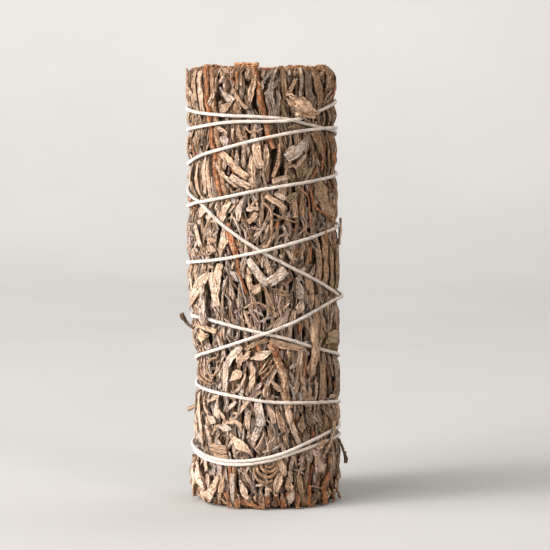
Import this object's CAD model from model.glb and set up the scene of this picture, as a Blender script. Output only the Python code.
# %% [markdown]
# # A dried sage bunch
#
# A hand's length of dried sage sprigs, sawn square at both ends and bound with one length of cotton twine.
# Most of what is seen is leaf: thousands of small woolly tongues, pressed flat, folded or rolled, with
# dark gaps between them. Here the leaf is modelled a few times by hand and laid round the bundle in code.
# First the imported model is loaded: it says where each sprig stands, and its box is kept to compare with.

# %% Load the frame
import math

import bpy
import numpy as np
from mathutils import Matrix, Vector


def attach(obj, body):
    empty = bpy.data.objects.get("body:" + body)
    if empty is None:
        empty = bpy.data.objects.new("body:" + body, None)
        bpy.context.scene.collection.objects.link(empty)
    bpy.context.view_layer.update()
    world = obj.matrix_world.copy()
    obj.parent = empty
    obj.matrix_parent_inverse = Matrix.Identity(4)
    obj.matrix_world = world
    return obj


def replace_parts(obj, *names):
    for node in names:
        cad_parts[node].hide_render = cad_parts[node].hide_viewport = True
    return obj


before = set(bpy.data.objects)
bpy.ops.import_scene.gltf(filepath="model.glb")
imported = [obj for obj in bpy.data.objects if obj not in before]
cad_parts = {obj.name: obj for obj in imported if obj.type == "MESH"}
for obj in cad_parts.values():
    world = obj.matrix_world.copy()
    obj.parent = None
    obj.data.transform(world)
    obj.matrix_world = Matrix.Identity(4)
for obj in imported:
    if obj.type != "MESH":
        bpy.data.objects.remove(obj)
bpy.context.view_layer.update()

MM = 0.001
rng = np.random.default_rng(7)
outer_sprigs = sorted(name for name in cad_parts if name.startswith("sprig_outer_"))
print(len(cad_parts), "nodes,", len(outer_sprigs), "of them sprigs on the outside")

# %% [markdown]
# ## The camera
#
# The bunch is seen from the front, from just under its top, through a long lens, so its sides stay upright.

# %% Camera
CAMERA_PLACE = (0.00315, -0.65, 0.121)
CAMERA_DIP = 4.96
CAMERA_LENS = 148.6
CAMERA_NEAR = 0.05

bpy.ops.object.select_all(action="DESELECT")
bpy.ops.object.camera_add(location=CAMERA_PLACE, rotation=(math.radians(90 - CAMERA_DIP), 0, 0))
camera = bpy.context.object
camera.data.lens = CAMERA_LENS
camera.data.clip_start = CAMERA_NEAR
bpy.context.scene.camera = camera
bpy.context.scene.view_settings.view_transform = "Standard"
print("camera lens", CAMERA_LENS, "mm")

# %% [markdown]
# ## Shader maths in Python
#
# A node tree is easier to read as sums. `Value` wraps one socket, and the operators written on it add Math
# nodes. `Nodes.make` adds every node, from its type, its settings and the values or links of its sockets.


# %% Shader helpers
SHEEN_ROUGHNESS = 0.5
SPECULAR = 0.25
# In shade a colour's red fades slower than its green, and its blue faster.
RED_POWER = 0.80
BLUE_POWER = 1.3


class Value:
    """What one socket gives. Arithmetic on numbers that vary over the surface adds Math nodes."""

    def __init__(self, nodes, socket):
        self.nodes = nodes
        self.socket = socket

    def maths(self, operation, *values):
        return self.nodes.make("Math", {"operation": operation}, dict(enumerate(values)))

    def __add__(self, other):
        return self.maths("ADD", self, other)

    def __sub__(self, other):
        return self.maths("SUBTRACT", self, other)

    def __rsub__(self, other):
        return self.maths("SUBTRACT", other, self)

    def __mul__(self, other):
        return self.maths("MULTIPLY", self, other)

    def __pow__(self, other):
        return self.maths("POWER", self, other)

    __radd__ = __add__
    __rmul__ = __mul__

    def __abs__(self):
        return self.maths("ABSOLUTE", self)

    def at_most(self, other):
        return self.maths("MINIMUM", self, other)


print("in half light a colour keeps", round(0.5**RED_POWER, 2), "of its red and",
      round(0.5**BLUE_POWER, 2), "of its blue")


# %% Nodes
def set_stops(elements, stops):
    """Gives a colour ramp its stops, each a place and a colour."""
    while len(elements) < len(stops):
        elements.new(1.0)
    for element, (place, colour) in zip(elements, stops):
        element.position = place
        element.color = (*colour, 1)


class Nodes:
    """One material's node tree, with a short way to make and link its nodes."""

    def __init__(self, name):
        self.material = bpy.data.materials.new(name)
        self.material.use_nodes = True
        self.tree = self.material.node_tree
        self.shader = self.tree.nodes["Principled BSDF"]

    def put(self, socket, value):
        """Links a value to a socket, or sets a plain number or colour on it."""
        if isinstance(value, Value):
            self.tree.links.new(value.socket, socket)
        elif socket.type == "RGBA":
            socket.default_value = (*value, 1)
        else:
            socket.default_value = value

    def make(self, kind, settings, sockets, output=0):
        """Adds a node. Its settings are set first, and then the values or links of its sockets."""
        node = self.tree.nodes.new("ShaderNode" + kind)
        for name, value in settings.items():
            if name == "stops":
                set_stops(node.color_ramp.elements, value)
            else:
                setattr(node, name, value)
        for name, value in sockets.items():
            self.put(node.inputs[name], value)
        return Value(self, node.outputs[output])

    def attribute(self, name, output):
        return self.make("Attribute", {"attribute_name": name}, {}, output)

    def object_place(self):
        return self.make("TexCoord", {}, {}, "Object")

    def split(self, vector, count):
        node = self.make("SeparateXYZ", {}, {"Vector": vector}).socket.node
        return [Value(self, node.outputs[i]) for i in range(count)]

    def grain(self):
        """How far across the piece and along it, from its own UV map."""
        return self.split(self.make("UVMap", {"uv_map": "grain"}, {}), 2)

    def step(self, value, low, high):
        """0 below low, 1 above high, and smooth between."""
        sockets = {"Value": value, "From Min": low, "From Max": high}
        return self.make("MapRange", {"interpolation_type": "SMOOTHSTEP"}, sockets)

    def noise(self, vector, scale, detail, roughness):
        sockets = {"Vector": vector, "Scale": scale, "Detail": detail, "Roughness": roughness}
        return self.make("TexNoise", {}, sockets)

    def grain_noise(self, x, y, z, detail, roughness):
        """A noise that follows the piece, because its place is worked out from the grain."""
        return self.noise(self.make("CombineXYZ", {}, {"X": x, "Y": y, "Z": z}), 1.0, detail, roughness)

    def ramp(self, value, stops):
        return self.make("ValToRGB", {"stops": stops}, {"Fac": value})

    def mix(self, share, first, second, blend="MIX"):
        settings = {"data_type": "RGBA", "blend_type": blend}
        return self.make("Mix", settings, {0: share, 6: first, 7: second}, 2)

    def shade(self, colour, amount):
        """The colour made lighter or darker by a number round 1. What is darker is browner too."""
        sockets = {"Red": amount**RED_POWER, "Green": amount, "Blue": amount**BLUE_POWER}
        return self.mix(1.0, colour, self.make("CombineColor", {}, sockets), "MULTIPLY")

    def finish(self, colour, roughness, height, depth, sheen=0.0):
        """Feeds the shader. height says where the surface stands up, and depth by how much in metres."""
        bump = self.make("Bump", {}, {"Height": height, "Strength": 1.0, "Distance": depth})
        looks = {
            "Base Color": colour, "Roughness": roughness, "Normal": bump, "Sheen Weight": sheen,
            "Sheen Roughness": SHEEN_ROUGHNESS, "Specular IOR Level": SPECULAR,
        }
        for name, value in looks.items():
            self.put(self.shader.inputs[name], value)
        return self.material

# %% [markdown]
# ## The shape of the bundle
#
# Every piece is laid by an angle round the bundle, a height, and a lift in or out of the surface that the
# twine is drawn down on. The outline and the lean are the ones that the sprigs were built on.

# %% Bundle
HEIGHT = 124.0
CUT_HEIGHT = 124.8
NOMINAL_RADIUS = 20.3
TWIST = 14.0
OUTLINE_HEIGHTS = [0, 16, 38, 66, 98, 112, 124]
OUTLINE_RADII = [19.7, 20.2, 19.6, 20.9, 20.3, 20.4, 20.3]
LEAN_RIGHT = [0.6, 0.8, 1.1, -0.3, -0.5, -0.8, -0.8]
LEAN_BACK = [0.1, 0.3, 0.5, 0.2, -0.3, 0.0, 0.2]
ARC = math.radians(1) * NOMINAL_RADIUS


def stacked(*parts):
    """Arrays side by side in a last axis, each spread to their common shape."""
    return np.stack(np.broadcast_arrays(*parts), axis=-1)


def radius_at(height):
    return np.interp(height, OUTLINE_HEIGHTS, OUTLINE_RADII)


def lean_at(height):
    """How far right and back the bundle's middle is at a height."""
    return np.interp(height, OUTLINE_HEIGHTS, LEAN_RIGHT), np.interp(height, OUTLINE_HEIGHTS, LEAN_BACK)


def on_bundle(angle, height, lift):
    """Points in mm for arrays of angle in degrees, height in mm and lift in mm."""
    radius = radius_at(height) + lift
    right, back = lean_at(height)
    a = np.radians(angle)
    return stacked(right + radius * np.sin(a), back - radius * np.cos(a), height)


print("one degree round the bundle is", round(ARC, 3), "mm")


# %% Paths
def distance_along(path):
    """How far each point of a path is from its start."""
    return np.concatenate([[0], np.cumsum(np.linalg.norm(np.diff(path, axis=0), axis=1))])


def directions_along(path):
    """The path's direction at each of its points."""
    directions = np.gradient(path, axis=0)
    return directions / np.linalg.norm(directions, axis=1, keepdims=True)


def curve_through(points, stations):
    """A smooth curve through the points, read at evenly spaced stations."""
    points = np.array(points, float)
    places = distance_along(points)
    slopes = np.gradient(points, places, axis=0)
    at = np.linspace(0, places[-1], stations)
    i = np.clip(np.searchsorted(places, at) - 1, 0, len(places) - 2)
    span = (places[i + 1] - places[i])[:, None]
    t = (at - places[i])[:, None] / span
    near = (1 + 2 * t) * (1 - t) ** 2 * points[i] + t * (1 - t) ** 2 * span * slopes[i]
    far = t**2 * (3 - 2 * t) * points[i + 1] + t**2 * (t - 1) * span * slopes[i + 1]
    return near + far


girth = distance_along(on_bundle(np.arange(361), HEIGHT / 2, 0))[-1]
print("the bundle is", round(girth, 1), "mm round its middle")

# %% [markdown]
# ## Finishes
#
# Each leaf carries three random numbers of its own: how light it is, which of the bunch's colours it has,
# and a seed that shifts its pattern. They are written on its corners as the attribute `tint`, with `depth`,
# how far under the bundle's surface the corner lies, because dust and shade gather between the leaves.
# The leaf's own UV map, `grain`, runs across it from 0 to 1 and along it in centimetres, so fibres follow it.

# %% Dry leaf
LEAF_COLOURS = [
    (0.00, (0.490, 0.382, 0.314)),
    (0.22, (0.700, 0.500, 0.368)),
    (0.45, (0.665, 0.438, 0.288)),
    (0.62, (0.450, 0.262, 0.145)),
    (0.78, (0.350, 0.240, 0.138)),
    (0.88, (0.160, 0.080, 0.040)),
    (1.00, (0.620, 0.230, 0.085)),
]
SAWN_COLOURS = [(0.35, (0.22, 0.085, 0.035)), (0.5, (0.52, 0.23, 0.09)), (0.65, (0.74, 0.45, 0.24))]
SHADE_COLOUR = (0.150, 0.066, 0.022)
BRIGHTEST = 1.40


def leaf_finish():
    n = Nodes("dry_leaf")
    light, hue, seed = n.split(n.attribute("tint", "Vector"), 3)
    depth = n.attribute("depth", "Fac")
    across, along = n.grain()
    object_place = n.object_place()

    # Fibres, blotches and specks follow the leaf, and crumbs lie on it anyhow.
    fibres = n.grain_noise(across * 4.5, along * 2.6, seed * 40.0, 5.0, 0.7)
    furrows = n.step(fibres, 0.38, 0.60)
    blotches = n.grain_noise(across * 1.3, along * 4.2, seed * 90.0, 3.0, 0.6)
    specks = n.step(n.grain_noise(across * 7.5, along * 12.0, seed * 70.0, 3.0, 0.7), 0.38, 0.56)
    crumbs = n.noise(object_place, 2100.0, 3.0, 0.8)

    # The rim is pale up to its dark edge, and a faint rib runs down the middle.
    from_middle = abs(across - 0.5)
    rim = n.step(from_middle, 0.31, 0.40)
    edge = n.step(from_middle, 0.42, 0.48)
    rib = 1.0 - n.step(from_middle, 0.015, 0.06)

    colour = n.ramp(hue + (blotches - 0.5) * 0.45, LEAF_COLOURS)
    bright = furrows * 0.54 + blotches * 0.3 + rim * 0.46 + rib * 0.1 + specks * 0.9
    bright = light * bright * (1.0 - edge * 0.72)
    colour = n.shade(colour, bright.at_most(BRIGHTEST))
    # Deep between its neighbours the leaf is dark and brown.
    open_air = n.step(depth, -2.0, -0.25)
    colour = n.mix(open_air, n.mix(1.0, colour, SHADE_COLOUR, "MULTIPLY"), colour)

    # At both ends the saw has torn it to fresh orange fibre.
    _, _, height = n.split(object_place, 3)
    from_end = height.at_most(CUT_HEIGHT * MM - height)
    sawn = 1.0 - n.step(from_end + (crumbs - 0.5) * 0.003 + (blotches - 0.5) * 0.004, 0.0006, 0.0014)
    colour = n.mix(sawn * 0.85, colour, n.ramp(crumbs * 0.6 + blotches * 0.4, SAWN_COLOURS))
    bump = furrows * 0.4 + fibres * 0.5 + crumbs * 0.5 + rib * 0.2 + blotches * 0.6
    return n.finish(colour, 0.75 + crumbs * 0.25, bump, 0.0012, sheen=0.1)


dry_leaf = leaf_finish()
print(dry_leaf.name, "has", len(dry_leaf.node_tree.nodes), "nodes")


# %% Bark
RED_BARK = [(0.34, (0.15, 0.040, 0.016)), (0.5, (0.47, 0.165, 0.062)), (0.66, (0.68, 0.33, 0.17))]
TAN_BARK = [(0.34, (0.15, 0.075, 0.042)), (0.5, (0.50, 0.32, 0.21)), (0.66, (0.78, 0.58, 0.43))]


def bark_finish():
    n = Nodes("flaking_bark")
    light, flaked, seed = n.split(n.attribute("tint", "Vector"), 3)
    around, along = n.grain()
    ridges = n.grain_noise(around * 11.0, along * 4.0, seed * 30.0, 5.0, 0.7)
    flaking = n.grain_noise(around * 7.0, along * 10.0, seed * 50.0, 5.0, 0.75)
    flakes = n.step(flaking - (0.62 - flaked * 0.28), -0.02, 0.03)
    pits = n.step(n.noise(n.object_place(), 1900.0, 3.0, 0.8), 0.40, 0.52)
    colour = n.mix(flakes, n.ramp(ridges, RED_BARK), n.ramp(ridges, TAN_BARK))
    colour = n.shade(colour, light * (0.45 + pits * 0.65))
    return n.finish(colour, 0.8 + ridges * 0.15, ridges + flakes * 0.6 + pits * 0.5, 0.0008)


flaking_bark = bark_finish()
print(flaking_bark.name, "has", len(flaking_bark.node_tree.nodes), "nodes")


# %% Sawn wood, twine and the matted heart
TORN_WOOD = [(0.42, (0.19, 0.07, 0.028)), (0.6, (0.60, 0.33, 0.175))]
PITH_COLOUR = (0.30, 0.16, 0.09)
BARK_RIM_COLOUR = (0.20, 0.075, 0.035)
COTTON = [(0.36, (0.27, 0.22, 0.185)), (0.58, (0.595, 0.527, 0.478))]
COTTON_DUST = (0.45, 0.35, 0.27)
MATTED = [(0.3, (0.012, 0.009, 0.006)), (0.7, (0.10, 0.072, 0.045))]


def wood_finish():
    n = Nodes("sawn_wood")
    out, _ = n.grain()
    rings = n.grain_noise(out * 14.0, 0.0, 0.0, 2.0, 0.5)
    tear = n.noise(n.object_place(), 2600.0, 4.0, 0.7)
    bark = n.step(out, 0.78, 0.9)
    pith = 1.0 - n.step(out, 0.10, 0.2)
    colour = n.mix(pith, n.ramp(rings * 0.5 + tear * 0.5, TORN_WOOD), PITH_COLOUR)
    colour = n.mix(bark, colour, BARK_RIM_COLOUR)
    return n.finish(colour, 0.85 + tear * 0.1, tear + rings * 0.4, 0.00025)


def twine_finish():
    n = Nodes("cotton_twine")
    around, along = n.grain()
    spun = n.grain_noise(around * 6.0 + along * 9.0, along * 2.0, 0.0, 4.0, 0.65)
    dust = n.step(n.noise(n.object_place(), 160.0, 4.0, 0.7), 0.55, 0.8)
    colour = n.mix(dust * 0.35, n.ramp(spun, COTTON), COTTON_DUST)
    return n.finish(colour, 0.88 + spun * 0.1, spun, 0.00012, sheen=0.4)


def heart_finish():
    n = Nodes("matted_heart")
    stretched = n.make("Mapping", {}, {"Vector": n.object_place(), "Scale": (1.0, 1.0, 0.25)})
    strands = n.noise(stretched, 1400.0, 5.0, 0.7)
    return n.finish(n.ramp(strands, MATTED), 0.95, strands, 0.0006)


sawn_wood = wood_finish()
cotton = twine_finish()
matted_heart = heart_finish()
print(len(bpy.data.materials), "materials")

# %% [markdown]
# ## The twine's route
#
# The twine goes down the bundle in turns and comes back up over itself, and its two ends meet in a reef
# knot behind. The points are the ones the model was built on, as (angle, height), with the lift added where
# a later turn passes over an earlier one.

# %% Twine route
TWINE_DIAMETER = 1.0
SEAT_LIFT = 0.8
STATION = 0.4
# A turn rises over a crossing this many stations ahead, and doesn't cross its own last few mm.
BUMP_STATIONS = 4
OWN_REACH = 4.0
TURNS = [
    [(228, 112.9), (278, 112.3), (309, 111.2), (336, 110.6), (358, 110.3), (380, 109.6), (405, 107.6),
     (443, 105.7), (490, 102.5), (540, 97.5)],
    [(590, 92.6), (639, 88.6), (665, 86.0), (688, 80.4), (721, 72.6), (755, 66.0), (780, 61.7),
     (804, 58.7), (850, 55.2), (900, 53.4)],
    [(950, 53.0), (992, 53.2), (1029, 53.3), (1063, 51.2), (1096, 48.4), (1122, 45.3), (1160, 42.1),
     (1210, 39.0), (1260, 36.3)],
    [(1310, 34.3), (1361, 33.4), (1409, 32.1), (1443, 30.6), (1480, 29.8), (1526, 28.1), (1570, 24.6),
     (1620, 20.3)],
    [(1670, 16.6), (1720, 14.4), (1748, 13.1), (1771, 12.6), (1789, 13.2), (1805, 14.4), (1822, 16.2),
     (1834, 17.2), (1858, 18.5), (1888, 18.6), (1930, 17.8), (1980, 17.3)],
    [(2030, 16.6), (2080, 15.4), (2108, 14.1), (2131, 13.6), (2149, 14.2), (2165, 15.4), (2182, 17.3),
     (2194, 18.8), (2218, 20.8), (2248, 21.3), (2290, 24.2), (2340, 30.0)],
    [(2390, 36.6), (2446, 41.9), (2475, 44.6), (2514, 49.3), (2542, 52.9), (2562, 55.8), (2580, 57.7),
     (2608, 58.9), (2650, 62.0), (2700, 65.0)],
    [(2750, 67.2), (2806, 68.8), (2849, 70.7), (2881, 73.2), (2915, 76.2), (2938, 77.9), (2968, 78.9),
     (3010, 80.6), (3060, 82.1)],
    [(3110, 83.4), (3163, 85.0), (3209, 87.8), (3242, 90.3), (3277, 92.1), (3320, 93.6), (3370, 94.6),
     (3420, 95.1)],
    [(3470, 95.6), (3523, 97.2), (3547, 99.5), (3570, 101.5), (3603, 104.5), (3638, 106.6), (3653, 107.0),
     (3683, 106.9), (3730, 106.4), (3780, 105.9)],
    [(3830, 105.9), (3878, 106.4), (3909, 107.6), (3930, 108.6), (3948, 109.0), (3963, 109.0),
     (3979, 109.2), (3991, 109.9), (4003, 111.1), (4033, 113.6), (4070, 114.8)],
]
print(len(TURNS), "turns through", sum(len(turn) for turn in TURNS), "points")

# %% Knot
# Its points are (sideways, up, out) from the knot's middle, in mm.
KNOT_ANGLE = 180.0
KNOT_HEIGHT = 114.2
KNOT_LIFT = 1.35
KNOT_SQUEEZE = 0.85
KNOT_LEG = [(2.9, 0.0, -0.65), (2.75, 0.9, -0.65), (2.3, 1.9, -0.45), (1.4, 2.3, 0.05), (0.0, 1.65, 0.65),
            (-1.5, 0.95, 0.1), (-2.8, 0.75, -0.65), (-4.3, 0.75, -0.65)]
TAIL = [(6.2, -1.6, -0.6), (8.4, -3.1, -0.65), (10.2, -5.2, -0.65)]


def knot_bight(side):
    """One bight, from its tail's end through the bend to the leg that carries on round the bundle."""
    leg = [(side * x, up, side * out) for x, up, out in KNOT_LEG]
    tail = [(-side * x, up, out) for x, up, out in TAIL]
    rows = tail[::-1] + [(x, -up, out) for x, up, out in leg[:0:-1]] + leg
    return [(KNOT_ANGLE + x / ARC, KNOT_HEIGHT + up, KNOT_LIFT + out * KNOT_SQUEEZE) for x, up, out in rows]


print("each half of the knot goes through", len(knot_bight(1)), "points")


# %% Route
def twine_route():
    """Stations along the whole twine: angle, height and lift, and which of them are in the turns."""
    laid = [(angle, height, SEAT_LIFT) for turn in TURNS for angle, height in turn]
    last_bight = [(a + 360 * len(TURNS), height, lift) for a, height, lift in knot_bight(1)[::-1]]
    flat = np.array(knot_bight(-1) + laid + last_bight) * (ARC, 1, 1)
    route = curve_through(flat, int(distance_along(flat)[-1] / STATION)) / (ARC, 1, 1)
    in_turns = (route[:, 0] > TURNS[0][0][0]) & (route[:, 0] < TURNS[-1][-1][0])
    return route, in_turns


def lift_over_crossings(route, in_turns):
    """Raises each turn to pass over what was wound before it."""
    start = int(np.argmax(in_turns))
    turn_length = int(360 * ARC / STATION)
    window = 2 * BUMP_STATIONS + 1
    for first in range(start + turn_length, len(route), turn_length):
        turn = np.arange(first, min(first + turn_length, len(route)))
        turn = turn[in_turns[turn]]
        if len(turn) == 0:
            break
        before = np.arange(first - BUMP_STATIONS)
        around = (route[turn, None, 0] - route[None, before, 0] + 180) % 360 - 180
        apart = np.hypot(around * ARC, route[turn, None, 1] - route[None, before, 1])
        over = route[None, before, 2] + np.sqrt(np.clip(TWINE_DIAMETER**2 - apart**2, 0, None))
        far_along = turn[:, None] - before[None, :] > OWN_REACH / STATION
        needed = np.where((apart < TWINE_DIAMETER) & far_along, over, 0).max(axis=1)
        padded = np.pad(np.maximum(route[turn, 2], needed), 2 * BUMP_STATIONS, mode="edge")
        widened = np.lib.stride_tricks.sliding_window_view(padded, window).max(axis=1)
        route[turn, 2] = np.lib.stride_tricks.sliding_window_view(widened, window).mean(axis=1)
    return route


route, in_turns = twine_route()
route = lift_over_crossings(route, in_turns)
twine_path = on_bundle(route[:, 0], route[:, 1], route[:, 2])
print("twine", round(distance_along(twine_path)[-1] * MM, 3), "m in", len(TURNS), "turns and a reef knot")

# %% [markdown]
# ## Where the twine presses
#
# The leaves are pushed in under each turn and swell out between the turns. A map of the unrolled surface
# holds the distance to the nearest turn, and from it the highest lift that a leaf may have at each place.

# %% Press map
MAP_STEP = 0.2
MAP_COLUMNS = int(360 * ARC / MAP_STEP)
MAP_ROWS = int(HEIGHT / MAP_STEP) + 2
PRESSED_LIFT = 0.28
FREE_LIFT = 1.3
DEEPEST = -2.6
PRESS_NEAR = 0.55
PRESS_FAR = 3.4
PRESS_POWER = 0.8
ROUNDED_EDGE = 3.5
EDGE_DROP = 1.3
# A lift over SOFT_FROM is squeezed, so that nothing stands more than SOFT_ROOM above it.
SOFT_FROM = 0.8
SOFT_ROOM = 0.5


def map_window(angle, height, reach):
    """The map's cells round a place, and how far each of them is from it in mm."""
    column, row = angle * ARC / MAP_STEP, height / MAP_STEP
    window = np.arange(-int(reach / MAP_STEP) - 1, int(reach / MAP_STEP) + 2)
    columns, rows = round(column) + window, round(row) + window
    rows = rows[(rows >= 0) & (rows < MAP_ROWS)]
    apart = np.hypot(rows[:, None] - row, columns[None, :] - column) * MAP_STEP
    return np.ix_(rows, columns % MAP_COLUMNS), apart


def make_press_map():
    nearest = np.full((MAP_ROWS, MAP_COLUMNS), PRESS_FAR)
    for angle, height, _ in route:
        cells, apart = map_window(angle, height, PRESS_FAR)
        nearest[cells] = np.minimum(nearest[cells], apart)
    t = np.clip((nearest - PRESS_NEAR) / (PRESS_FAR - PRESS_NEAR), 0, 1)
    return PRESSED_LIFT + (FREE_LIFT - PRESSED_LIFT) * t**PRESS_POWER


press_map = make_press_map()


def highest_lift(angle, height):
    """The press map read between its points."""
    x = (angle * ARC / MAP_STEP) % MAP_COLUMNS
    y = np.clip(height / MAP_STEP, 0, MAP_ROWS - 1.001)
    x0, y0 = np.floor(x).astype(int), np.floor(y).astype(int)
    fx, fy = x - x0, y - y0
    x0 %= MAP_COLUMNS
    x1 = (x0 + 1) % MAP_COLUMNS
    low = press_map[y0, x0] * (1 - fx) + press_map[y0, x1] * fx
    high = press_map[y0 + 1, x0] * (1 - fx) + press_map[y0 + 1, x1] * fx
    return low * (1 - fy) + high * fy


def pressed(angle, height, lift):
    """Squeezes a lift in under the twine, keeping the order of what lies over what."""
    squeezed_top = SOFT_FROM + SOFT_ROOM * np.tanh((lift - SOFT_FROM) / SOFT_ROOM)
    soft = np.where(lift > SOFT_FROM, squeezed_top, lift)
    share = (highest_lift(angle, height) - DEEPEST) / (FREE_LIFT - DEEPEST)
    edge = np.clip(np.minimum(height, HEIGHT - height) / ROUNDED_EDGE, 0, 1)
    squeezed = DEEPEST + (np.maximum(soft, DEEPEST) - DEEPEST) * share
    return squeezed - EDGE_DROP * (1 - edge) ** 2


print("press map", press_map.shape)

# %% [markdown]
# ## Making meshes from many copies
#
# `Batch` gathers copies of small shapes, with their tint, depth and grain, and writes them as one mesh.
# The copies are moved as arrays, so thousands of leaves take seconds.


# %% Batches
GRAIN_PER_MM = 0.1


def outward(corners, faces):
    """The same faces, turned round where the shape is inside out."""
    a, b, c = (corners[faces[:, i]] for i in range(3))
    volume = np.einsum("ij,ij->i", a, np.cross(b, c)).sum()
    return faces if volume > 0 else faces[:, ::-1]


class Batch:
    """Corners and faces of many small shapes that become one piece."""

    def __init__(self):
        self.points, self.faces, self.tints, self.depths, self.grains = [], [], [], [], []
        self.count = 0

    def add(self, points, faces, tint, depth, grain):
        """points is (copies, corners, 3) in mm; faces is (faces, 4) for one copy, the same for each."""
        copies, corners = points.shape[:2]
        offsets = self.count + np.arange(copies)[:, None, None] * corners
        self.points.append(points.reshape(-1, 3))
        self.faces.append((faces[None] + offsets).reshape(-1, 4))
        self.tints.append(np.broadcast_to(tint, points.shape).reshape(-1, 3))
        self.depths.append(np.broadcast_to(depth, points.shape[:2]).reshape(-1))
        self.grains.append(np.broadcast_to(grain, (*points.shape[:2], 2)).reshape(-1, 2))
        self.count += copies * corners

    def add_one(self, points, faces, tint, grain, depth=0.0):
        """Adds one closed shape, with its faces turned to point outwards."""
        self.add(points[None], outward(points - points.mean(axis=0), faces), tint, depth, grain)

    def piece(self, name, finish, slot):
        points = np.concatenate(self.points) * MM
        faces = np.concatenate(self.faces)
        mesh = bpy.data.meshes.new(name)
        mesh.vertices.add(len(points))
        mesh.vertices.foreach_set("co", points.astype(np.float32).ravel())
        mesh.loops.add(faces.size)
        mesh.loops.foreach_set("vertex_index", faces.astype(np.int32).ravel())
        mesh.polygons.add(len(faces))
        mesh.polygons.foreach_set("loop_start", np.arange(0, faces.size, 4, dtype=np.int32))
        mesh.update(calc_edges=True)
        mesh.shade_smooth()
        tint = mesh.attributes.new("tint", "FLOAT_VECTOR", "POINT")
        tint.data.foreach_set("vector", np.concatenate(self.tints).astype(np.float32).ravel())
        depth = mesh.attributes.new("depth", "FLOAT", "POINT")
        depth.data.foreach_set("value", np.concatenate(self.depths).astype(np.float32))
        grain = mesh.uv_layers.new(name="grain")
        on_corners = np.concatenate(self.grains)[faces.ravel()]
        grain.data.foreach_set("uv", on_corners.astype(np.float32).ravel())
        made = bpy.data.objects.new(name, mesh)
        bpy.context.collection.objects.link(made)
        mesh.materials.append(finish)
        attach(made, "root")
        return made

# %% [markdown]
# ## One leaf, modelled by hand
#
# A leaf starts as a strip of faces. Its far edge is extruded row by row, and each row is resized to
# the leaf's width there, so the outline is the list of rows. Solidify gives it the thickness of dry felt.
# Lengthwise it runs from 0 to 1 and its widest row is 1, so that a copy is scaled to its own size in mm.
# The plain leaves are coarse, because there are thousands; the ones laid by hand have twice the rows.

# %% Leaf blanks
LEAF_OUTLINES = {
    "tongue": [(0.0, 0.30), (0.2, 0.55), (0.42, 0.8), (0.65, 1.0), (0.85, 0.9), (1.0, 0.38)],
    "narrow": [(0.0, 0.55), (0.18, 0.85), (0.4, 1.0), (0.62, 0.93), (0.84, 0.7), (1.0, 0.22)],
    "broad": [(0.0, 0.16), (0.18, 0.6), (0.4, 1.0), (0.62, 0.92), (0.84, 0.55), (1.0, 0.08)],
    "fan": [(0.0, 0.16), (0.25, 0.36), (0.5, 0.62), (0.72, 0.86), (0.9, 1.0), (1.0, 0.82)],
    "ribbon": [(0.0, 0.82), (0.2, 1.0), (0.42, 0.95), (0.65, 1.0), (0.85, 0.94), (1.0, 0.86)],
}
THREE_POINTED = [
    (0.0, 0.14), (0.1, 0.42), (0.24, 0.78), (0.4, 1.0), (0.55, 0.92), (0.7, 0.84), (0.86, 0.6), (1.0, 0.2),
]
HEART_SHAPED = [
    (0.0, 0.08), (0.15, 0.34), (0.32, 0.6), (0.5, 0.84), (0.66, 1.0), (0.8, 0.96), (0.92, 0.72), (1.0, 0.4),
]
CURVE_STATIONS = 60


def select_only(*objects):
    """Leaves just these objects selected, and the first of them active."""
    bpy.ops.object.select_all(action="DESELECT")
    for chosen in objects:
        chosen.select_set(True)
    bpy.context.view_layer.objects.active = objects[0]


print(len(LEAF_OUTLINES), "plain outlines and two of finer leaves")


# %% Extrude a leaf
def leaf_blank(name, rows, across=4):
    """The blank's corners and faces, how far across its row each corner is, and which corners are pairs."""
    bpy.ops.object.select_all(action="DESELECT")
    bpy.ops.mesh.primitive_grid_add(x_subdivisions=across, y_subdivisions=1, size=1)
    leaf = bpy.context.object
    leaf.name = name
    (first, narrow), (second, wide) = rows[0], rows[1]
    for v in leaf.data.vertices:
        far = v.co.y > 0
        v.co = (v.co.x * (wide if far else narrow), second if far else first, 0)
        v.select = far
    for edge in leaf.data.edges:
        edge.select = all(leaf.data.vertices[i].select for i in edge.vertices)
    for face in leaf.data.polygons:
        face.select = False
    bpy.ops.object.mode_set(mode="EDIT")
    bpy.ops.mesh.select_mode(type="EDGE")
    for (start, width), (end, next_width) in zip(rows[1:], rows[2:]):
        bpy.ops.mesh.extrude_region_move(TRANSFORM_OT_translate={"value": (0, end - start, 0)})
        bpy.ops.transform.resize(value=(next_width / width, 1, 1), center_override=(0, end, 0))
    bpy.ops.mesh.select_all(action="SELECT")
    bpy.ops.mesh.normals_make_consistent(inside=False)
    bpy.ops.object.mode_set(mode="OBJECT")
    solidify = leaf.modifiers.new("felt", "SOLIDIFY")
    solidify.thickness = 1.0
    solidify.offset = 0
    bpy.ops.object.modifier_apply(modifier="felt")
    corners = np.array([v.co for v in leaf.data.vertices])
    faces = np.array([p.vertices[:] for p in leaf.data.polygons])
    bpy.data.objects.remove(leaf)
    rounded = corners[:, :2].round(3)
    pairs = np.unique(rounded, axis=0, return_inverse=True)[1].ravel()
    row_width = np.array([np.abs(rounded[rounded[:, 1] == y, 0]).max() for y in rounded[:, 1]])
    return corners, outward(corners, faces), corners[:, 0] / row_width, pairs


def finer(rows, count=13):
    """The same outline with more rows, rounded between the given ones."""
    widths = np.clip(curve_through(rows, CURVE_STATIONS)[:, 1], 0.04, 1)
    read_at = np.linspace(0, CURVE_STATIONS - 1, count).astype(int)
    return list(zip(np.linspace(0, 1, count), widths[read_at]))


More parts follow.
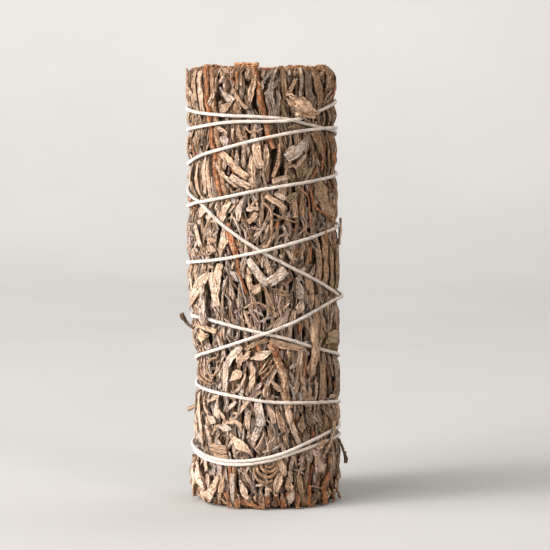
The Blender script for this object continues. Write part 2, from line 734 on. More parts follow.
blanks = {name: leaf_blank(name, rows) for name, rows in LEAF_OUTLINES.items()}
fine_blanks = {name: leaf_blank(name, finer(rows), 8) for name, rows in LEAF_OUTLINES.items()}
fine_blanks["heart"] = leaf_blank("heart", finer(HEART_SHAPED), 8)
fine_blanks["three_pointed"] = leaf_blank("three_pointed", finer(THREE_POINTED, 17), 10)
print("leaf blanks with", len(blanks["tongue"][1]), "faces each:", ", ".join(blanks))

# %% [markdown]
# ## Laying leaves on the bundle
#
# `lay` takes arrays with one entry for each leaf. The leaf is curled across its width, rolled about its
# length, twisted, bent and lifted at its tip, and then wrapped round the bundle at its angle, height and
# heading, where 0 points up. Last it is pressed in under the twine. Headings, roll and twist are in degrees,
# sizes, lift, crumple, pleat, rib, sway and trim in mm, and the rest are shares of the width or the length.

# %% Lay leaves
DEFAULTS = {
    "heading": 0.0, "cup": 0.4, "fold": 0.0, "roll": 0.0, "twist": 0.0, "bend": 0.0, "tilt": 0.0, "curl": 0.0,
    "tip": 0.0, "wave": 0.0, "sway": 0.12, "pleat": 0.0, "light": 1.0, "hue": 0.4, "thick": 0.24,
    "crumple": 0.1, "rib": 0.08, "trim": 0.0,
}

# The leaves are paler low down, where they are older, and darkest under the upper saw cut.
SUNNED_HEIGHTS = [0, 20, 45, 85, 100, 124]
SUNNED = [1.50, 1.57, 1.58, 1.45, 1.05, 0.86]


def shape_leaf(blank, p, seed):
    """How far each corner of each leaf lies across, along and out from the leaf's middle."""
    corners, _, share, pairs = blank
    t, s, z = corners[None, :, 0], corners[None, :, 1], corners[None, :, 2]
    crease = rng.normal(0, 1, (len(seed), pairs.max() + 1))[:, pairs]
    shift = rng.normal(0, 1, (len(seed), pairs.max() + 1))[:, pairs]
    # cupped or folded, and crumpled, with a raised rim and rib
    cup = np.where(np.abs(p["cup"]) < 0.05, 0.05, p["cup"])
    across = p["width"] / 2 * np.sin(2 * t * cup) / cup
    out = p["width"] / 2 * (1 - np.cos(2 * t * cup)) / cup
    across = across * np.sqrt(np.clip(1 - p["fold"] ** 2, 0.05, 1)) + p["crumple"] * shift * 0.8
    out = out + p["fold"] * np.abs(t) * p["width"] + z * p["thick"]
    out = out + p["crumple"] * (crease + 1.6 * (np.abs(share) > 0.8)) + p["rib"] * (np.abs(share) < 0.1)
    # rippled along both edges
    ripple = np.sin(2 * np.pi * (s * (1.4 + seed) + seed * 7) + np.sign(t) * 1.7)
    out = out + p["wave"] * p["width"] * np.abs(2 * t) ** 1.5 * ripple
    # rolled and twisted about its length
    turn = np.radians(p["roll"] + p["twist"] * (s - 0.5))
    across, out = across * np.cos(turn) - out * np.sin(turn), across * np.sin(turn) + out * np.cos(turn)
    # bent and waved sideways, and then in and out
    along = p["length"] * (s - 0.5)
    across = across + p["bend"] * p["length"] * ((s - 0.5) ** 2 - 0.08)
    across = across + p["sway"] * np.sin(2 * np.pi * (along / 9 + seed * 5))
    out = out + p["tilt"] * along + p["curl"] * p["length"] * ((s - 0.5) ** 2 - 0.08)
    out = out + 0.16 * np.sin(2 * np.pi * (along / 8 + seed * 3 + t * 0.6))
    out = out + p["pleat"] * np.sin(2 * np.pi * (share * 1.4 + seed * 9 + 0.35 * np.sin(along * 0.7)))
    return across, along, out + p["tip"] * p["length"] * np.clip(s - 0.6, 0, 1) ** 2


# %% Wrap leaves round the bundle
def lay(batch, blank, leaves, press=True):
    """Adds leaves of one kind to the batch. Angles are in degrees, sizes and lifts in mm."""
    corners, faces, share, _ = blank
    count = len(leaves["angle"])
    seed = rng.random((count, 1))
    given = {**DEFAULTS, **leaves}
    p = {key: np.broadcast_to(np.asarray(value, float), (count,))[:, None] for key, value in given.items()}
    across, along, out = shape_leaf(blank, p, seed)
    heading = np.radians(p["heading"])
    angle = p["angle"] + (across * np.cos(heading) + along * np.sin(heading)) / ARC
    height = p["height"] + along * np.cos(heading) - across * np.sin(heading)
    height = np.clip(height, 0.12 + p["trim"].clip(0), HEIGHT + 0.4 - p["trim"])
    depth = p["lift"] + out
    lift = pressed(angle, height, depth) if press else depth
    light = p["light"] * np.interp(p["height"], SUNNED_HEIGHTS, SUNNED)
    grain = stacked(share[None] * 0.5 + 0.5, corners[None, :, 1] * p["length"] * GRAIN_PER_MM)
    batch.add(on_bundle(angle, height, lift), faces, stacked(light, p["hue"], seed), depth, grain)

# %% [markdown]
# ## Leaves laid by hand
#
# The leaves that catch the eye on the front are laid one by one: tongues with the tip down, strips that
# cross the others, a broad pale leaf wrapped round the left side, a crumpled one caught over the twine.
# Each row says the blank, the angle and height of its middle, its heading, its length and width, its hue
# and lightness, and whatever else is special. Hue goes from 0, grey violet, over tan at 0.45, brown at 0.6
# and olive at 0.8 to 1, orange. A leaf with a `free` lift isn't pressed in under the twine.

# %% Top of the front
HAND_LIFT = 0.75
HAND_LIGHT = 0.78
HAND_CRUMPLE = 0.11
PLEAT_SHARE = 0.13
DEEPEST_PLEAT = 0.32
TOP_LEAVES = [
    ("ribbon", -53, 117, 175, 12, 2.2, 0.35, 1.25),
    ("fan", -27, 116.3, 136, 5.6, 3.0, 0.1, 1.35, {"cup": -0.8, "lift": 1.0}),
    ("narrow", -7, 117, -169, 10, 2.2, 0.45, 1.25, {"fold": 0.6}),
    ("tongue", -28, 112.8, -132, 5.0, 2.3, 0.3, 1.05),
    ("broad", -19, 112.4, -172, 5.5, 2.6, 0.5, 0.95),
    ("ribbon", -16, 115, 141, 7.0, 1.3, 0.4, 1.1),
    ("narrow", -42, 114.3, -149, 6.8, 1.3, 0.15, 1.25, {"bend": 0.3}),
    ("ribbon", -69, 116.8, 123, 7.0, 1.5, 0.35, 1.2, {"bend": 0.4}),
    ("ribbon", -60, 119, 172, 9.0, 1.8, 0.45, 1.15, {"fold": 0.5}),
    ("broad", -29, 103.7, 177, 5.0, 2.8, 0.1, 1.2),
    ("ribbon", -31, 106.6, 117, 3.8, 1.2, 0.3, 1.2),
    ("tongue", -17, 106, 171, 5.0, 1.5, 0.45, 1.15),
    ("tongue", -13, 105.5, 168, 4.6, 1.3, 0.5, 1.0),
    ("ribbon", 4, 120.8, -160, 6.4, 1.0, 0.1, 1.1, {"sway": 0.4}),
    ("ribbon", 8, 120.2, -155, 8.2, 1.2, 0.05, 1.2, {"sway": 0.4, "lift": 0.95}),
    ("ribbon", 12, 119.4, -158, 7.4, 1.0, 0.0, 1.05, {"sway": 0.4}),
    ("ribbon", 6, 114.0, 178, 8.0, 1.1, 0.05, 1.0, {"sway": 0.4}),
    ("ribbon", 9, 114.4, 176, 8.6, 1.2, 0.0, 1.2, {"sway": 0.45, "lift": 0.95}),
    ("ribbon", 13, 113.8, 173, 7.6, 1.1, 0.1, 1.0, {"sway": 0.4}),
    ("ribbon", 17, 119.6, 173, 9.6, 1.6, 0.5, 0.95, {"fold": 0.5}),
    ("ribbon", 23, 118, -154, 6.4, 1.6, 0.5, 1.3, {"fold": 0.7, "lift": 1.0}),
    ("ribbon", 32, 119, -174, 10, 1.4, 0.2, 1.3, {"cup": -1.2}),
    ("ribbon", 38, 121, 180, 6.2, 2.2, 0.05, 0.75),
    ("tongue", 41, 115.2, 158, 8.0, 2.8, 0.08, 0.72, {"cup": -0.6}),
    ("ribbon", 50, 118.4, 165, 11.2, 3.6, 0.6, 0.95, {"cup": -0.4}),
    ("narrow", 61, 120, -169, 6.4, 2.2, 0.4, 1.15, {"fold": 0.6}),
    ("narrow", 66, 110.8, -8, 6.5, 2.4, 0.55, 1.0, {"fold": 0.7}),
    ("narrow", 72, 110.4, -14, 6.5, 2.4, 0.6, 1.0, {"fold": 0.7}),
    ("broad", 29, 107.4, 88, 6.0, 2.2, 0.65, 1.0, {"cup": 1.0}),
    ("fan", 31, 102.1, -131, 8.6, 4.2, 0.12, 1.15, {"cup": -0.4}),
    ("ribbon", 49, 103.3, 155, 6.4, 3.1, 0.62, 0.9),
    ("ribbon", -79, 108, 174, 8.0, 2.2, 0.3, 1.25),
    ("narrow", -70, 105, 170, 7.0, 1.8, 0.45, 1.2, {"fold": 0.6}),
]
print(len(TOP_LEAVES), "leaves at the top")

# %% Upper middle of the front
UPPER_LEAVES = [
    ("narrow", -67, 89, 161, 6.0, 3.2, 0.8, 1.05),
    ("ribbon", -22, 96.9, 130, 10.6, 2.3, 0.5, 1.25, {"lift": 1.1, "cup": -0.5}),
    ("ribbon", -29, 93.8, 136, 9.4, 1.2, 0.4, 1.25, {"cup": -1.2, "lift": 0.9}),
    ("ribbon", -17, 92.3, 122, 6.4, 1.9, 0.3, 1.15, {"cup": -0.4}),
    ("ribbon", -3, 99.8, 169, 7.6, 2.7, 0.28, 1.0, {"cup": -0.7, "lift": 1.1, "fold": 0.3}),
    ("ribbon", -7, 95, 179, 9.4, 2.1, 0.4, 1.15, {"cup": -0.6}),
    ("tongue", -29, 97.2, 174, 3.0, 1.8, 0.3, 1.2, {"fold": 0.7}),
    ("tongue", -19, 99.2, 174, 4.8, 1.3, 0.1, 1.0),
    ("tongue", -14, 98.6, 170, 5.2, 1.3, 0.25, 1.0),
    ("broad", -53, 84.2, -157, 6.4, 3.0, 0.35, 1.25),
    ("ribbon", -30, 83.9, -152, 6.4, 2.0, 0.4, 1.2),
    ("tongue", -17, 84.7, -167, 6.6, 1.9, 0.15, 1.25),
    ("ribbon", -7, 84.8, 90, 3.5, 1.3, 0.25, 1.15),
    ("ribbon", -7, 82.3, -142, 3.8, 1.5, 0.5, 1.25),
    ("tongue", 3, 98.8, 3, 7.8, 2.0, 0.4, 1.1, {"fold": 0.55}),
    ("ribbon", 28, 100.9, -123, 7.8, 3.0, 0.05, 1.2, {"lift": 1.1, "cup": -0.3}),
    ("ribbon", 30, 97.9, -137, 5.0, 1.2, 0.3, 1.2, {"fold": 0.6, "lift": 1.0}),
    ("ribbon", 22, 96.6, 79, 3.0, 1.0, 0.55, 1.15),
    ("heart", 23, 94.2, 179, 3.0, 2.6, 0.75, 0.85),
    ("ribbon", 14, 93.0, -104, 4.5, 1.6, 0.3, 1.25, {"lift": 1.0}),
    ("broad", 32, 95.6, -167, 7.0, 3.8, 0.78, 0.95),
    ("ribbon", 56, 86.8, 150, 11.6, 4.2, 0.72, 1.0, {"cup": -0.4, "crumple": 0.14}),
    ("fan", 25, 88.6, -129, 5.4, 2.4, 0.75, 0.95),
    ("ribbon", 11, 86.8, 131, 6.6, 2.0, 0.5, 1.2, {"fold": 0.6}),
    ("tongue", 14, 88.4, 110, 3.6, 1.8, 0.2, 1.2, {"lift": 1.0}),
    ("ribbon", 25, 84.8, 174, 5.2, 1.7, 0.55, 0.95),
    ("ribbon", 31, 86.0, 180, 7.0, 1.3, 0.6, 0.85),
    ("ribbon", -44, 92, 174, 12, 1.5, 0.4, 1.2, {"fold": 0.5}),
    ("ribbon", -51, 94, 176, 11, 1.6, 0.35, 1.2, {"cup": -0.9}),
    ("ribbon", -58, 93, 172, 10, 1.7, 0.45, 1.2, {"fold": 0.6}),
    ("ribbon", -74, 94, 176, 11, 1.8, 0.35, 1.2),
    ("ribbon", 63, 97, 176, 12, 1.6, 0.62, 0.95),
    ("ribbon", 71, 96, 172, 13, 2.0, 0.7, 0.95),
]
print(len(UPPER_LEAVES), "leaves in the upper middle")

# %% Lower middle of the front
MIDDLE_LEAVES = [
    ("narrow", -50, 57.4, 6, 12.2, 2.6, 0.12, 1.0, {"free": 1.7, "fold": 0.5}),
    ("ribbon", -40, 61.9, 175, 9.6, 2.5, 0.3, 1.02),
    ("ribbon", -36, 64.8, -169, 8.8, 2.4, 0.35, 1.0),
    ("tongue", -10, 65.4, 174, 6.2, 1.8, 0.5, 1.2, {"lift": 1.1, "cup": -0.7}),
    ("ribbon", -4, 67.1, 148, 9.0, 2.4, 0.08, 1.15, {"lift": 1.0, "cup": -0.4}),
    ("broad", -5, 62.4, -143, 4.4, 2.4, 0.4, 1.2),
    ("fan", -32, 73.7, 21, 6.0, 2.6, 0.4, 1.3),
    ("ribbon", -42, 75.8, 106, 3.6, 1.3, 0.6, 1.25),
    ("broad", -42, 73.4, 110, 3.8, 2.0, 0.4, 1.25),
    ("ribbon", -57, 76.9, 154, 6.8, 2.0, 0.3, 1.1, {"fold": 0.4}),
    ("ribbon", 4, 69.1, 168, 5.2, 1.2, 0.35, 1.2),
    ("ribbon", 11, 66.0, 55, 6.2, 3.0, 0.12, 1.05, {"lift": 1.1, "cup": -0.3}),
    ("narrow", 18, 64.4, 67, 4.2, 1.3, 0.85, 1.2, {"bend": -0.4}),
    ("narrow", 24, 62.9, 178, 4.8, 1.3, 0.85, 1.0),
    ("tongue", 28, 61.8, 167, 5.4, 2.7, 0.2, 1.0),
    ("broad", 14, 61.4, 113, 5.6, 2.0, 0.7, 1.0),
    ("tongue", 38, 63.5, 174, 6.0, 3.2, 0.6, 0.95, {"lift": 1.0, "cup": -0.4}),
    ("broad", 28, 57.3, 7, 4.2, 2.7, 0.2, 1.2),
    ("broad", -61, 48.3, 86, 7.6, 4.0, 0.5, 0.85, {"crumple": 0.26}),
    ("ribbon", -55, 50.6, 98, 9.6, 1.5, 0.5, 1.25, {"wave": 0.14}),
    ("ribbon", -27, 43.5, -142, 7.2, 2.2, 0.15, 1.05, {"lift": 0.95}),
    ("ribbon", -35, 37.2, -172, 8.6, 2.0, 0.2, 0.95, {"lift": 0.95, "fold": 0.4}),
    ("broad", -22, 42.8, -171, 6.8, 2.3, 0.45, 1.05),
    ("heart", -26, 37.7, 47, 4.8, 3.0, 0.45, 1.15, {"lift": 1.1, "cup": -0.4}),
    ("tongue", -13, 36.5, 16, 8.6, 2.0, 0.4, 1.15, {"lift": 0.95}),
    ("tongue", -16, 43.6, -146, 3.8, 1.8, 0.45, 1.15, {"lift": 1.0}),
    ("broad", -4, 43.9, 68, 6.6, 2.8, 0.3, 1.2, {"lift": 1.2, "cup": -0.3}),
    ("ribbon", -8, 47.0, 68, 7.6, 1.4, 0.7, 1.0),
    ("tongue", -6, 45.6, 165, 2.8, 1.2, 1.0, 1.1),
    ("ribbon", 17, 46.4, 105, 10.6, 2.1, 0.55, 1.05, {"cup": -0.5}),
    ("ribbon", 70, 47.4, 95, 10, 4.2, 0.72, 1.0, {"cup": -0.3, "lift": 0.9}),
    ("ribbon", 26, 42.9, -173, 4.0, 1.7, 0.2, 1.2, {"fold": 0.5}),
    ("tongue", 22, 40.6, -110, 3.2, 1.3, 0.15, 1.2),
    ("ribbon", 19, 37.8, 146, 2.2, 0.8, 0.2, 1.35),
    ("ribbon", 6, 35.6, 125, 3.0, 1.0, 0.5, 1.2, {"lift": 1.0}),
    ("ribbon", 8, 34.4, 122, 2.8, 0.9, 0.55, 1.2, {"lift": 1.0}),
    ("tongue", 37, 39.7, 179, 5.0, 3.0, 0.6, 0.9, {"cup": -0.4}),
    ("ribbon", 48, 35.7, 179, 11, 2.8, 0.7, 0.95, {"fold": 0.4}),
    ("ribbon", 58, 35.6, 168, 8.0, 1.4, 0.88, 0.9),
    ("ribbon", 68, 33.6, 150, 2.6, 1.6, 0.95, 1.15, {"lift": 1.2}),
    ("ribbon", 66, 30.7, 96, 4.2, 1.4, 0.5, 1.3, {"lift": 1.3}),
    ("ribbon", 72, 37, 178, 12, 2.8, 0.0, 0.5),
    ("ribbon", -72, 64, 170, 9.0, 2.0, 0.35, 1.25),
    ("ribbon", 47, 67, 176, 13, 2.2, 0.6, 0.95),
    ("ribbon", 55, 70, 178, 14, 2.2, 0.62, 0.95),
    ("ribbon", 64, 67, 174, 13, 2.4, 0.68, 0.95),
    ("ribbon", 75, 65, 178, 14, 2.4, 0.7, 0.95),
    ("tongue", 16, 54, -160, 6.4, 2.2, 0.2, 1.1),
    ("narrow", 21, 53, -165, 7.0, 2.0, 0.4, 1.1),
    ("tongue", 10, 53, -150, 5.4, 1.8, 0.3, 1.15),
]
print(len(MIDDLE_LEAVES), "leaves in the lower middle")

# %% Foot of the front
LOW_LEAVES = [
    ("narrow", -66, 24.7, 163, 14.4, 2.6, 0.35, 1.15, {"fold": 0.4}),
    ("tongue", -49, 24.8, 103, 4.2, 2.2, 0.25, 1.25, {"lift": 1.1}),
    ("tongue", -43, 28, 173, 5.6, 2.6, 0.3, 1.2),
    ("broad", -34, 22.9, 92, 5.0, 2.2, 0.12, 1.3, {"lift": 1.2}),
    ("broad", -20, 18.4, 131, 9.0, 3.2, 0.4, 1.0, {"lift": 0.95, "fold": 0.3}),
    ("ribbon", -42, 17.4, 96, 6.4, 1.3, 0.55, 1.15, {"wave": 0.14}),
    ("ribbon", -42, 15.9, 86, 6.6, 1.4, 0.6, 1.1, {"wave": 0.14}),
    ("ribbon", -40, 14.6, 92, 5.8, 1.2, 0.55, 1.1, {"wave": 0.14}),
    ("ribbon", -6, 27.2, 172, 6.8, 2.8, 0.05, 1.1, {"cup": -0.6, "lift": 1.0}),
    ("tongue", -8, 22.0, -160, 6.0, 2.8, 0.08, 1.1, {"cup": -0.6}),
    ("narrow", -15, 25.2, -178, 6.2, 1.8, 0.35, 1.15, {"bend": -0.5}),
    ("tongue", -18, 5.6, 158, 6.0, 2.1, 0.3, 1.2),
    ("ribbon", -62, 4.8, 176, 9.0, 2.4, 0.3, 1.12, {"fold": 0.4}),
    ("ribbon", -54, 4.6, -174, 8.4, 2.2, 0.35, 1.25),
    ("ribbon", -58, 12.4, 150, 6.0, 1.2, 0.35, 1.25, {"lift": 1.0}),
    ("ribbon", -64, 12.0, -150, 6.0, 1.2, 0.35, 1.2, {"lift": 1.0}),
    ("ribbon", -73, 12.0, 155, 7.0, 1.3, 0.4, 1.1),
    ("tongue", 17, 27, 176, 5.8, 2.2, 0.4, 1.15, {"lift": 1.1, "cup": -0.5}),
    ("tongue", 3, 27.3, 158, 6.0, 1.8, 0.35, 1.1),
    ("tongue", 10, 25.5, 161, 7.4, 2.2, 0.55, 1.0, {"fold": 0.4}),
    ("ribbon", 23, 21.2, 151, 7.2, 1.6, 0.3, 1.1),
    ("tongue", 28, 24, -176, 4.6, 2.2, 0.74, 1.15, {"lift": 0.95}),
    ("broad", 35, 25.8, 173, 5.8, 3.2, 0.8, 0.75),
    ("heart", 32, 20.6, 165, 4.2, 3.0, 0.78, 1.05),
    ("tongue", 39, 20.8, 180, 2.2, 1.2, 1.05, 1.2),
    ("ribbon", 45, 18, -123, 3.8, 1.4, 0.5, 1.3, {"free": 1.6}),
    ("ribbon", 44, 13.6, 172, 8.0, 2.6, 0.2, 0.8, {"cup": -0.4}),
    ("ribbon", 58, 12.6, 171, 7.0, 1.3, 0.9, 1.0),
    ("tongue", 12, 12.5, 166, 5.8, 2.1, 0.45, 1.1, {"lift": 1.0}),
    ("tongue", 19, 10.4, 179, 5.0, 1.4, 0.4, 1.15),
    ("tongue", 18, 7, 174, 4.6, 2.2, 0.6, 1.05, {"lift": 0.95}),
    ("broad", 9, 8, 8, 7.0, 2.8, 0.4, 1.0, {"fold": 0.4}),
    ("tongue", 20, 3.8, -163, 4.2, 2.2, 0.2, 1.25, {"lift": 1.0}),
    ("ribbon", 54, 6.8, -145, 5.2, 1.5, 0.97, 1.1),
    ("ribbon", 29, 4.9, 165, 9.2, 1.6, 0.65, 1.15),
    ("ribbon", 1, 2.4, 174, 3.2, 1.0, 1.0, 1.1),
    ("ribbon", 7, 2.4, 179, 3.0, 1.1, 0.9, 1.0),
    ("ribbon", -11, 1.5, 114, 5.4, 1.1, 1.0, 1.1, {"lift": 1.0}),
    ("ribbon", -27, 5.6, 177, 9.0, 1.5, 0.05, 0.9),
    ("broad", -61, 8.0, 148, 9.5, 4.2, 0.3, 1.25, {"free": 1.1, "fold": 0.5, "tip": 0.5}),
    ("tongue", -74, 9.0, 172, 9.0, 3.2, 0.35, 1.2, {"free": 1.0, "fold": 0.6, "tip": 0.4}),
    ("fan", -45, 5.4, -150, 8.6, 4.0, 0.4, 1.15, {"free": 0.9, "fold": 0.4}),
    ("broad", -54, 3.0, 108, 8.0, 3.0, 0.3, 1.25, {"free": 1.2, "cup": -0.8}),
    ("narrow", -38, 5.2, -168, 7.6, 2.2, 0.55, 1.1, {"fold": 0.6}),
    ("ribbon", -80, 5.0, 176, 8.0, 2.4, 0.4, 1.1, {"free": 0.9, "fold": 0.5}),
    ("ribbon", -15, 1.8, 96, 5.0, 1.3, 0.92, 1.1, {"lift": 1.0}),
    ("ribbon", 14, 1.6, 164, 3.2, 1.3, 0.96, 1.1),
    ("ribbon", 33, 2.0, -172, 3.6, 1.2, 0.9, 1.0),
    ("tongue", -48, 30.5, 60, 4.4, 1.5, 0.4, 1.0, {"lift": 1.0, "curl": 0.5}),
    ("tongue", -38, 26.6, 140, 4.6, 1.5, 0.4, 1.1, {"lift": 1.0, "cup": -1.4}),
    ("narrow", -30, 29.0, -130, 4.4, 1.6, 0.35, 1.05, {"lift": 1.0, "cup": -1.2}),
    ("narrow", -52, 20.4, 150, 6.0, 1.6, 0.4, 1.1, {"lift": 1.0, "fold": 0.5}),
    ("ribbon", -26, 24.6, 100, 4.6, 1.2, 0.45, 1.05, {"lift": 1.0, "bend": 0.6}),
    ("ribbon", -33, 24.0, 70, 4.2, 0.9, 0.5, 0.9, {"lift": 0.95, "bend": 0.7}),
    ("ribbon", -31, 31.8, 110, 3.8, 0.9, 0.55, 0.9, {"lift": 0.95, "bend": -0.6}),
    ("ribbon", -44, 22.2, 40, 4.2, 1.0, 0.5, 0.95, {"lift": 0.95, "bend": 0.5}),
    ("ribbon", -58, 28.4, 150, 5.2, 1.0, 0.45, 1.0, {"lift": 0.95, "bend": -0.4}),
    ("ribbon", -31, 2.5, 160, 4.6, 1.4, 0.95, 1.0, {"free": 0.8, "tip": 0.6}),
    ("tongue", -22, 2.2, -170, 4.0, 1.8, 0.9, 0.9, {"free": 0.7, "tip": 0.7}),
    ("tongue", -3, 2.6, 172, 4.8, 1.7, 0.6, 0.9, {"free": 0.6, "tip": 0.6}),
    ("ribbon", 25, 2.4, 170, 4.4, 1.3, 0.98, 1.0, {"free": 0.8, "tip": 0.6}),
    ("tongue", 41, 2.6, -165, 4.8, 1.7, 0.85, 0.9, {"free": 0.8, "tip": 0.6}),
    ("ribbon", 52, 2.5, 175, 4.6, 1.5, 0.97, 1.0, {"free": 0.9, "tip": 0.7}),
    ("ribbon", 65, 2.9, 165, 5.4, 1.6, 0.9, 0.9, {"free": 0.9, "tip": 0.6}),
    ("narrow", 79, 5.4, 172, 10.0, 2.3, 0.5, 0.9, {"free": 0.9, "tip": 0.5}),
]
HAND_LEAVES = TOP_LEAVES + UPPER_LEAVES + MIDDLE_LEAVES + LOW_LEAVES
print(len(LOW_LEAVES), "leaves at the foot, and", len(HAND_LEAVES), "by hand in all")

# %% [markdown]
# ## Stems and twigs
#
# Woody stems show between the leaves, red where the bark is thin and tan where it flakes, and thin bare
# twigs cross them. Each is a tube along a path of angle and height. Its cross-section is uneven, and it
# sinks with the leaves where the twine passes over it.

# %% Stems and twigs by hand
# radius, how much of the bark has flaked to tan (0 to 1), lightness, path
STEMS = [
    (0.85, 0.34, 0.9, [(-47, 124.6), (-46, 116), (-44, 108), (-40, 100.4), (-39, 96), (-36, 91.3),
                       (-34, 88.2)]),
    (0.80, 1.0, 0.6, [(-41, 124.2), (-40, 116), (-38, 108.2), (-35, 100.5), (-34, 96), (-31, 91.3),
                      (-28, 86)]),
    (0.95, 0.25, 1.1, [(-29, 80.5), (-26, 77.7), (-23, 74.9), (-21, 71.6)]),
    (0.40, 0.25, 0.85, [(-21, 72), (-20, 70.5), (-18, 67.2), (-15, 63.3), (-13, 61)]),
    (0.90, 0.38, 0.72, [(-5, 123.8), (-2, 119.3), (-1, 116.3), (2, 112.2), (4, 109)]),
    (0.75, 0.34, 0.95, [(4, 109), (5, 106.7), (6.5, 104.2), (9, 101.6)]),
    (0.55, 0.75, 0.95, [(14, 102.8), (13, 98.3), (9, 93.6)]),
    (0.35, 0.00, 1.30, [(-19, 122.6), (-19, 117.2)]),
    (1.3, 0.45, 1.0, [(3.5, 47), (7, 44.2), (9, 41.9), (10.5, 40)]),
    (1.25, 0.80, 0.9, [(9.5, 41.4), (12, 38.8), (14.5, 33.9), (16.5, 30.2), (17.5, 28.4)]),
    (0.50, 0.35, 1.15, [(-31, 12.6), (-30, 8.1), (-29, 4.2)]),
    (0.62, 0.9, 0.55, [(-27, 12), (-26, 6.8), (-25, 0.6)]),
    (0.60, 0.15, 1.25, [(37, 6.2), (37, 0.3)]),
    (0.40, 0.30, 0.55, [(40, 12), (37, 6.6)]),
]
TWIGS = [
    (0.38, 0.9, 0.9, [(0, 90.5), (1, 86.7), (6, 84.8), (7, 80.3), (6, 76.2), (2, 73.3)]),
    (0.26, 0.95, 0.9, [(7, 83.7), (17, 82.1), (28, 80.7)]),
    (0.24, 0.2, 1.2, [(57, 102.2), (54, 98.1), (52, 95)]),
    (0.34, 0.25, 1.15, [(46, 95.8), (42, 92.6), (40, 90.4), (41, 87.6), (45, 84.7), (53, 83.2), (68, 80.6)]),
    (0.24, 0.3, 1.2, [(31, 90.2), (37, 87.9), (38, 84.2), (39, 79.6)]),
    (0.30, 0.05, 1.2, [(-67, 101.9), (-65, 98.6)]),
    (0.22, 0.3, 1.2, [(30, 44.4), (31, 41), (30, 37.4)]),
    (0.20, 0.9, 1.4, [(38, 6.2), (46, 5.3), (54, 4.1)]),
    (0.30, 0.95, 0.95, [(-47, 4.6), (-38, 2.6), (-30, 0.8)]),
    (0.28, 0.95, 0.9, [(-42, 2.9), (-54, 0.6)]),
    (0.28, 0.95, 0.95, [(-12, 107.6), (-7, 105.9), (-4, 106.2), (1, 107.1)]),
    (0.30, 1.0, 0.9, [(-15, 57.1), (-9, 58.3), (-4, 58.6), (1, 57.6), (5, 55.6)]),
    (0.28, 1.0, 0.9, [(1, 63.3), (4, 60.3), (8, 56.7)]),
    (0.26, 0.9, 1.25, [(-54, 73.5), (-51, 71.9), (-46, 70.4)]),
    (0.34, 1.0, 0.75, [(4, 42.4), (-1, 39.7), (-6, 38.3)]),
    (0.34, 1.0, 0.75, [(5, 41), (1, 38.8), (-4, 37.2)]),
    (0.30, 0.8, 1.2, [(58, 114), (58, 115), (65, 116.6), (69, 117.4)]),
    (0.30, 0.8, 1.15, [(59, 114), (66, 114.6), (71, 116.2)]),
    (0.36, 1.0, 0.85, [(-79, 42), (-77, 37.4), (-64, 34.9), (-52, 34.3)]),
    (0.36, 1.0, 0.85, [(-70, 42), (-68, 37.8), (-58, 35.8), (-50, 35.6)]),
    (0.34, 1.0, 0.8, [(-44, 42.4), (-53, 41.2), (-57, 38.6), (-51, 37), (-46, 37.6)]),
    (0.35, 0.9, 1.3, [(-86, 50.2), (-85, 47), (-77, 44.4)]),
    (0.30, 0.7, 1.1, [(57, 107.6), (59, 111.5), (64, 113.2), (73, 113.4), (80, 111.6)]),
    (0.42, 1.0, 0.72, [(-2, 13.7), (0, 12.4), (4, 12.2), (7, 13.6)]),
    (0.46, 1.0, 0.72, [(-5, 13.6), (-3, 11.6), (2, 10.9), (7, 11.8), (10, 13.8)]),
    (0.48, 1.0, 0.72, [(-8, 13.2), (-6, 10.6), (0, 9.4), (6, 10.1), (10, 12.2)]),
    (0.46, 1.0, 0.7, [(-10, 11.8), (-7, 9.0), (-1, 7.9), (5, 8.5)]),
]
STEM_LIFT = 0.15
TWIG_LIFT = 0.85
# The last ones pass over the twine, so each point has its own lift too.
OVER_TWINE = [
    (0.28, 0.1, 1.25, [(54, 78.6, 1.4), (55, 75.2, 1.1)]),
    (0.32, 0.9, 1.3, [(88, 78.5, 1.3), (87, 73.4, 1.2)]),
    (0.20, 0.8, 1.25, [(20, 115.0, 1.5), (26, 112.2, 2.5), (32, 109.8, 2.7), (37, 108.8, 2.3)]),
    (0.34, 0.85, 1.25, [(64, 23.6, 1.3), (61, 21.5, 1.9), (58, 18.8, 1.6), (55, 16.9, 1.1)]),
]
print(len(STEMS), "stems and", len(TWIGS) + len(OVER_TWINE), "twigs by hand")

# %% [markdown]
# ## What keeps clear of what
#
# The loose top layer must not bury the stems and the leaves laid by hand, so their places are marked on a
# second map, and random leaves that would lie on them are left out.

# %% Marked places
FREE, UNDER_HAND_LEAF, UNDER_STEM = 0, 1, 2
marked = np.zeros((MAP_ROWS, MAP_COLUMNS), np.int8)


def mark(points, radius, level):
    """Marks the surface within radius of each (angle, height)."""
    for angle, height in points:
        cells, apart = map_window(angle, height, radius)
        marked[cells] = np.where(apart < radius, np.maximum(marked[cells], level), marked[cells])


def leaf_line(angle, height, heading, length, stations, share=0.9):
    """Places along the middle of a leaf, or of many leaves at once."""
    along = np.linspace(-0.5, 0.5, stations) * share
    run = np.multiply.outer(length, along)
    turn = np.radians(heading)[..., None]
    angles = np.asarray(angle)[..., None] + run * np.sin(turn) / ARC
    return angles, np.asarray(height)[..., None] + run * np.cos(turn)


def most_marked(leaves):
    """The highest mark that each of many leaves would lie on."""
    angle, height = leaf_line(leaves["angle"], leaves["height"], leaves["heading"], leaves["length"], 7)
    rows = np.clip(np.round(height / MAP_STEP).astype(int), 0, MAP_ROWS - 1)
    columns = np.round(angle * ARC / MAP_STEP).astype(int) % MAP_COLUMNS
    return marked[rows, columns].max(axis=1)


